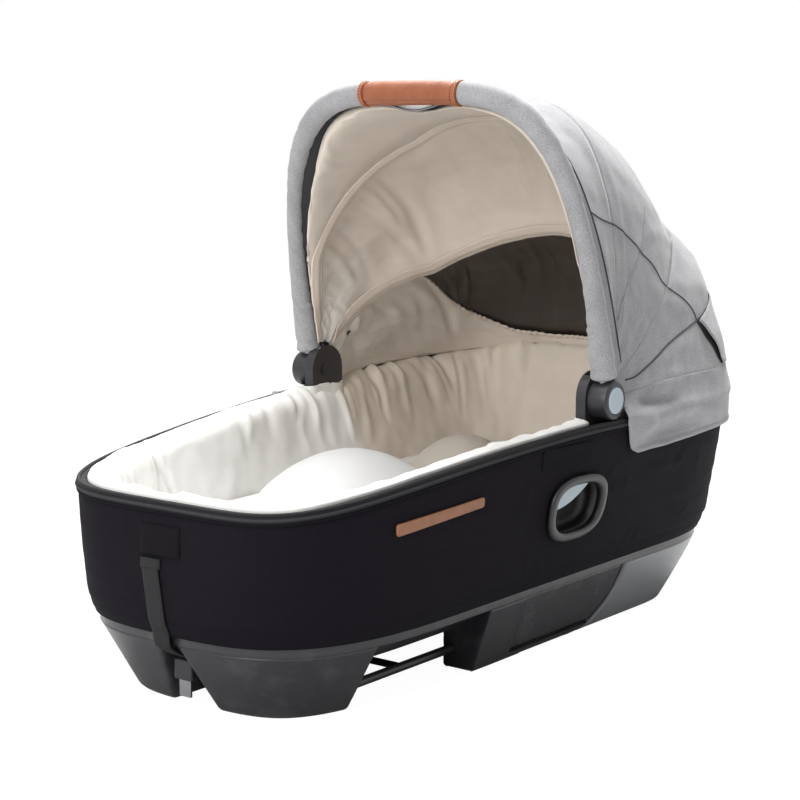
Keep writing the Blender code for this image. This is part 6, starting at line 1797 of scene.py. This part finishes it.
# A moulded foot: plan rings rise from a rounded bottom edge to the tray's underside, with an open top
def footShell(name, ringAt, spread, mirror, finish, node, levels=26):
    top = softRing(ringAt(base["lowZ"]), spread)
    ceiling = np.minimum(trayUnder(insetOf(top)), base["lowZ"] - base["under"])
    radius = base["round"]
    rounded = np.linspace(0, 1, 6)[:-1] * radius
    shares = np.concatenate([rounded, np.linspace(radius, base["lowZ"], levels - 5)])
    extra = (base["recessLow"] - base["recessStep"] / 2, base["recessLow"] + base["recessStep"] / 2)
    shares = np.unique(np.concatenate([shares, extra]))
    rings = []
    for z in shares:
        ring = softRing(ringAt(z), spread)
        lift = min(z / radius, 1.0)
        tuck = radius * 0.8 * (1 - math.sqrt(1 - (1 - lift) ** 2))
        along = np.roll(ring, -1, 0) - np.roll(ring, 1, 0)
        out = unit(np.stack([along[:, 1], -along[:, 0]], 1))
        ring = ring - out * np.sign(ringArea(ring)) * tuck
        rings.append(np.concatenate([ring, np.minimum(z, ceiling)[:, None]], 1))
    points = np.array(rings)
    if mirror:
        points = points * (1, -1, 1)
    area = ringArea(points[0])
    mesh = gridMesh(name, points, loopCols=True, flip=area < 0)
    closeRing(mesh, slice(points.shape[1]), area > 0)
    place(name, mesh, finish, "cot", "base_plastic", (node,), base["wall"], sharp=50)


for hand, side in hands:
    footShell("podShell_" + hand, podRing, base["podSpread"], side < 0, "basePlastic", "foot_pod_" + hand)
    footShell("skidShell_" + hand, skidRing, base["skidSpread"], side < 0, "basePlastic", "skid_" + hand)
footShell("headShell", headRing, base["headSpread"], False, "headPlastic", "head_block")


# The tray's lip and underside, carried round the base outline
def makeTray():
    inward, z = smoothLine(base["tray"], 46).T[:, :, None, None]
    line = baseLine[None] - baseOut[None] * inward
    points = np.concatenate([line, np.broadcast_to(z, (len(z), stationCount, 1))], -1)
    mesh = gridMesh("trayShell", points, loopCols=True)
    work = bmesh.new()
    work.from_mesh(mesh)
    rim = list(work.verts)[-stationCount:]
    work.faces.new(rim)
    bmesh.ops.recalc_face_normals(work, faces=work.faces)
    down = min(work.faces, key=lambda f: f.calc_center_median().z)
    if down.normal.z > 0:
        bmesh.ops.reverse_faces(work, faces=work.faces)
    work.to_mesh(mesh)
    work.free()
    place("trayShell", mesh, "basePlastic", "cot", "base_plastic", ("base_tray",), base["trayWall"])


makeTray()


# The dark panel in the skid's recess, its head end cut to the quarter ellipse
def makePanel(hand, side):
    z = np.linspace(base["recessLow"] + base["panelLow"], base["lowZ"] - base["panelHigh"], 30)[:, None]
    startX, endX = base["recessX"] + base["panelFront"], arcAt(z) - base["panelRear"]
    x = startX + (endX - startX) * np.linspace(0, 1, 40)[None]
    edge = np.interp(x, denseHalf[:, 0], denseHalf[:, 1]) - footInset(z, base["skidDraft"])
    y = edge - base["recessDepth"] + base["panelOut"]
    points = np.stack([x, y * side, z + 0 * x], -1)
    mesh = gridMesh("recessPanel_" + hand, points, flip=side > 0)
    kind = ("panelPlastic", "cot", "panel_plastic", ("side_panel_" + hand,), base["wall"])
    place("recessPanel_" + hand, mesh, *kind)


for hand, side in hands:
    makePanel(hand, side)
print("base made")

# Finishes for the model's own parts
keptParts = dict(
    darkPlastic=("inner_tub", "dock_rail_near", "dock_rail_far", "dock_crossbar", "hinge_lug_near",
                 "hinge_lug_far", "hinge_pin_near", "hinge_pin_far", "mid_rib", "rear_rib", "strap_buckle"),
    satinSteel=("hub_spring_near", "hub_spring_far", "bow_tube", "strap_tongue", "zip_pull"),
    buttonPlastic=("release_button_near", "release_button_far"),
)
for finish, parts in keptParts.items():
    for node in parts:
        thing = nodes[node]
        if thing.data.materials:
            thing.data.materials[0] = finishes[finish]
        else:
            thing.data.materials.append(finishes[finish])

# Floor, lights and camera
stage = dict(
    azimuth=-52.138, elevation=8.548, distance=2.1727, lens=84.522, target=(-0.0483, 0.0, 0.2789),
    sensor=36.0, sky=0.30, glow=1.16, glowShare=0.84, paper=(0.7, 0.7, 0.7, 1), reach=6,
    lamps=(
        # name, place, what it points at, size, watts
        ("hoodLight", (-2.6, -0.3, 1.5), (0.10, 0.05, 0.35), 1.3, 46),
        ("keyLight", (-0.9, 0.3, 2.9), (-0.1, 0.0, 0.2), 1.6, 30),
        ("backLight", (1.2, 0.5, 2.5), (0.1, 0.0, 0.4), 1.4, 130),
    ),
)


# 1 where the camera, a reflection or glass looks, and strength where it lights
def lightShade(tree, strength):
    path = tree.nodes.new("ShaderNodeLightPath")
    seen = mathNode(tree, "MAXIMUM", path.outputs["Is Camera Ray"], path.outputs["Is Transmission Ray"])
    seen = mathNode(tree, "MAXIMUM", seen, path.outputs["Is Glossy Ray"])
    return mathNode(tree, "ADD", mathNode(tree, "MULTIPLY", seen, 1.0 - strength), strength)


def makeWorld():
    world = bpy.data.worlds.new("studio")
    bpy.context.scene.world = world
    world.use_nodes = True
    back = world.node_tree.nodes["Background"]
    back.inputs["Color"].default_value = (1, 1, 1, 1)
    world.node_tree.links.new(lightShade(world.node_tree, stage["sky"]), back.inputs["Strength"])


# White paper that glows towards the camera and still takes the shadow
def makeFloor():
    floorMesh = bpy.data.meshes.new("floor")
    reach = stage["reach"]
    corners = [(-reach, -reach, 0), (reach, -reach, 0), (reach, reach, 0), (-reach, reach, 0)]
    floorMesh.from_pydata(corners, [], [(0, 1, 2, 3)])
    floor = bpy.data.objects.new("floor", floorMesh)
    bpy.context.scene.collection.objects.link(floor)
    tree, shader = baseMaterial("paper", 0.9)
    shader.inputs["Base Color"].default_value = stage["paper"]
    path = tree.nodes.new("ShaderNodeLightPath")
    glow = tree.nodes.new("ShaderNodeEmission")
    glow.inputs["Color"].default_value = (1, 1, 1, 1)
    glow.inputs["Strength"].default_value = stage["glow"]
    mixer = tree.nodes.new("ShaderNodeMixShader")
    seen = mathNode(tree, "MULTIPLY", path.outputs["Is Camera Ray"], stage["glowShare"])
    tree.links.new(seen, mixer.inputs[0])
    tree.links.new(shader.outputs[0], mixer.inputs[1])
    tree.links.new(glow.outputs[0], mixer.inputs[2])
    tree.links.new(mixer.outputs[0], tree.nodes["Material Output"].inputs["Surface"])
    floorMesh.materials.append(finishes["paper"])


def makeLamps():
    for name, spot, target, size, power in stage["lamps"]:
        lamp = bpy.data.lights.new(name, "AREA")
        lamp.energy, lamp.size = power, size
        holder = bpy.data.objects.new(name, lamp)
        bpy.context.scene.collection.objects.link(holder)
        holder.location = spot
        holder.rotation_euler = (Vector(target) - Vector(spot)).to_track_quat("-Z", "Y").to_euler()


def makeCamera():
    az, el = math.radians(stage["azimuth"]), math.radians(stage["elevation"])
    back = np.array((math.sin(az) * math.cos(el), -math.cos(az) * math.cos(el), math.sin(el)))
    data = bpy.data.cameras.new("camera")
    data.lens, data.sensor_width = stage["lens"], stage["sensor"]
    data.clip_start, data.clip_end = 0.05, 50
    camera = bpy.data.objects.new("camera", data)
    bpy.context.scene.collection.objects.link(camera)
    camera.location = np.array(stage["target"]) + back * stage["distance"]
    camera.rotation_euler = Vector(-back).to_track_quat("-Z", "Y").to_euler()
    bpy.context.scene.camera = camera
    bpy.context.scene.view_settings.view_transform = "Standard"


makeWorld()
makeFloor()
makeLamps()
makeCamera()
bpy.context.view_layer.update()
print("scene ready")
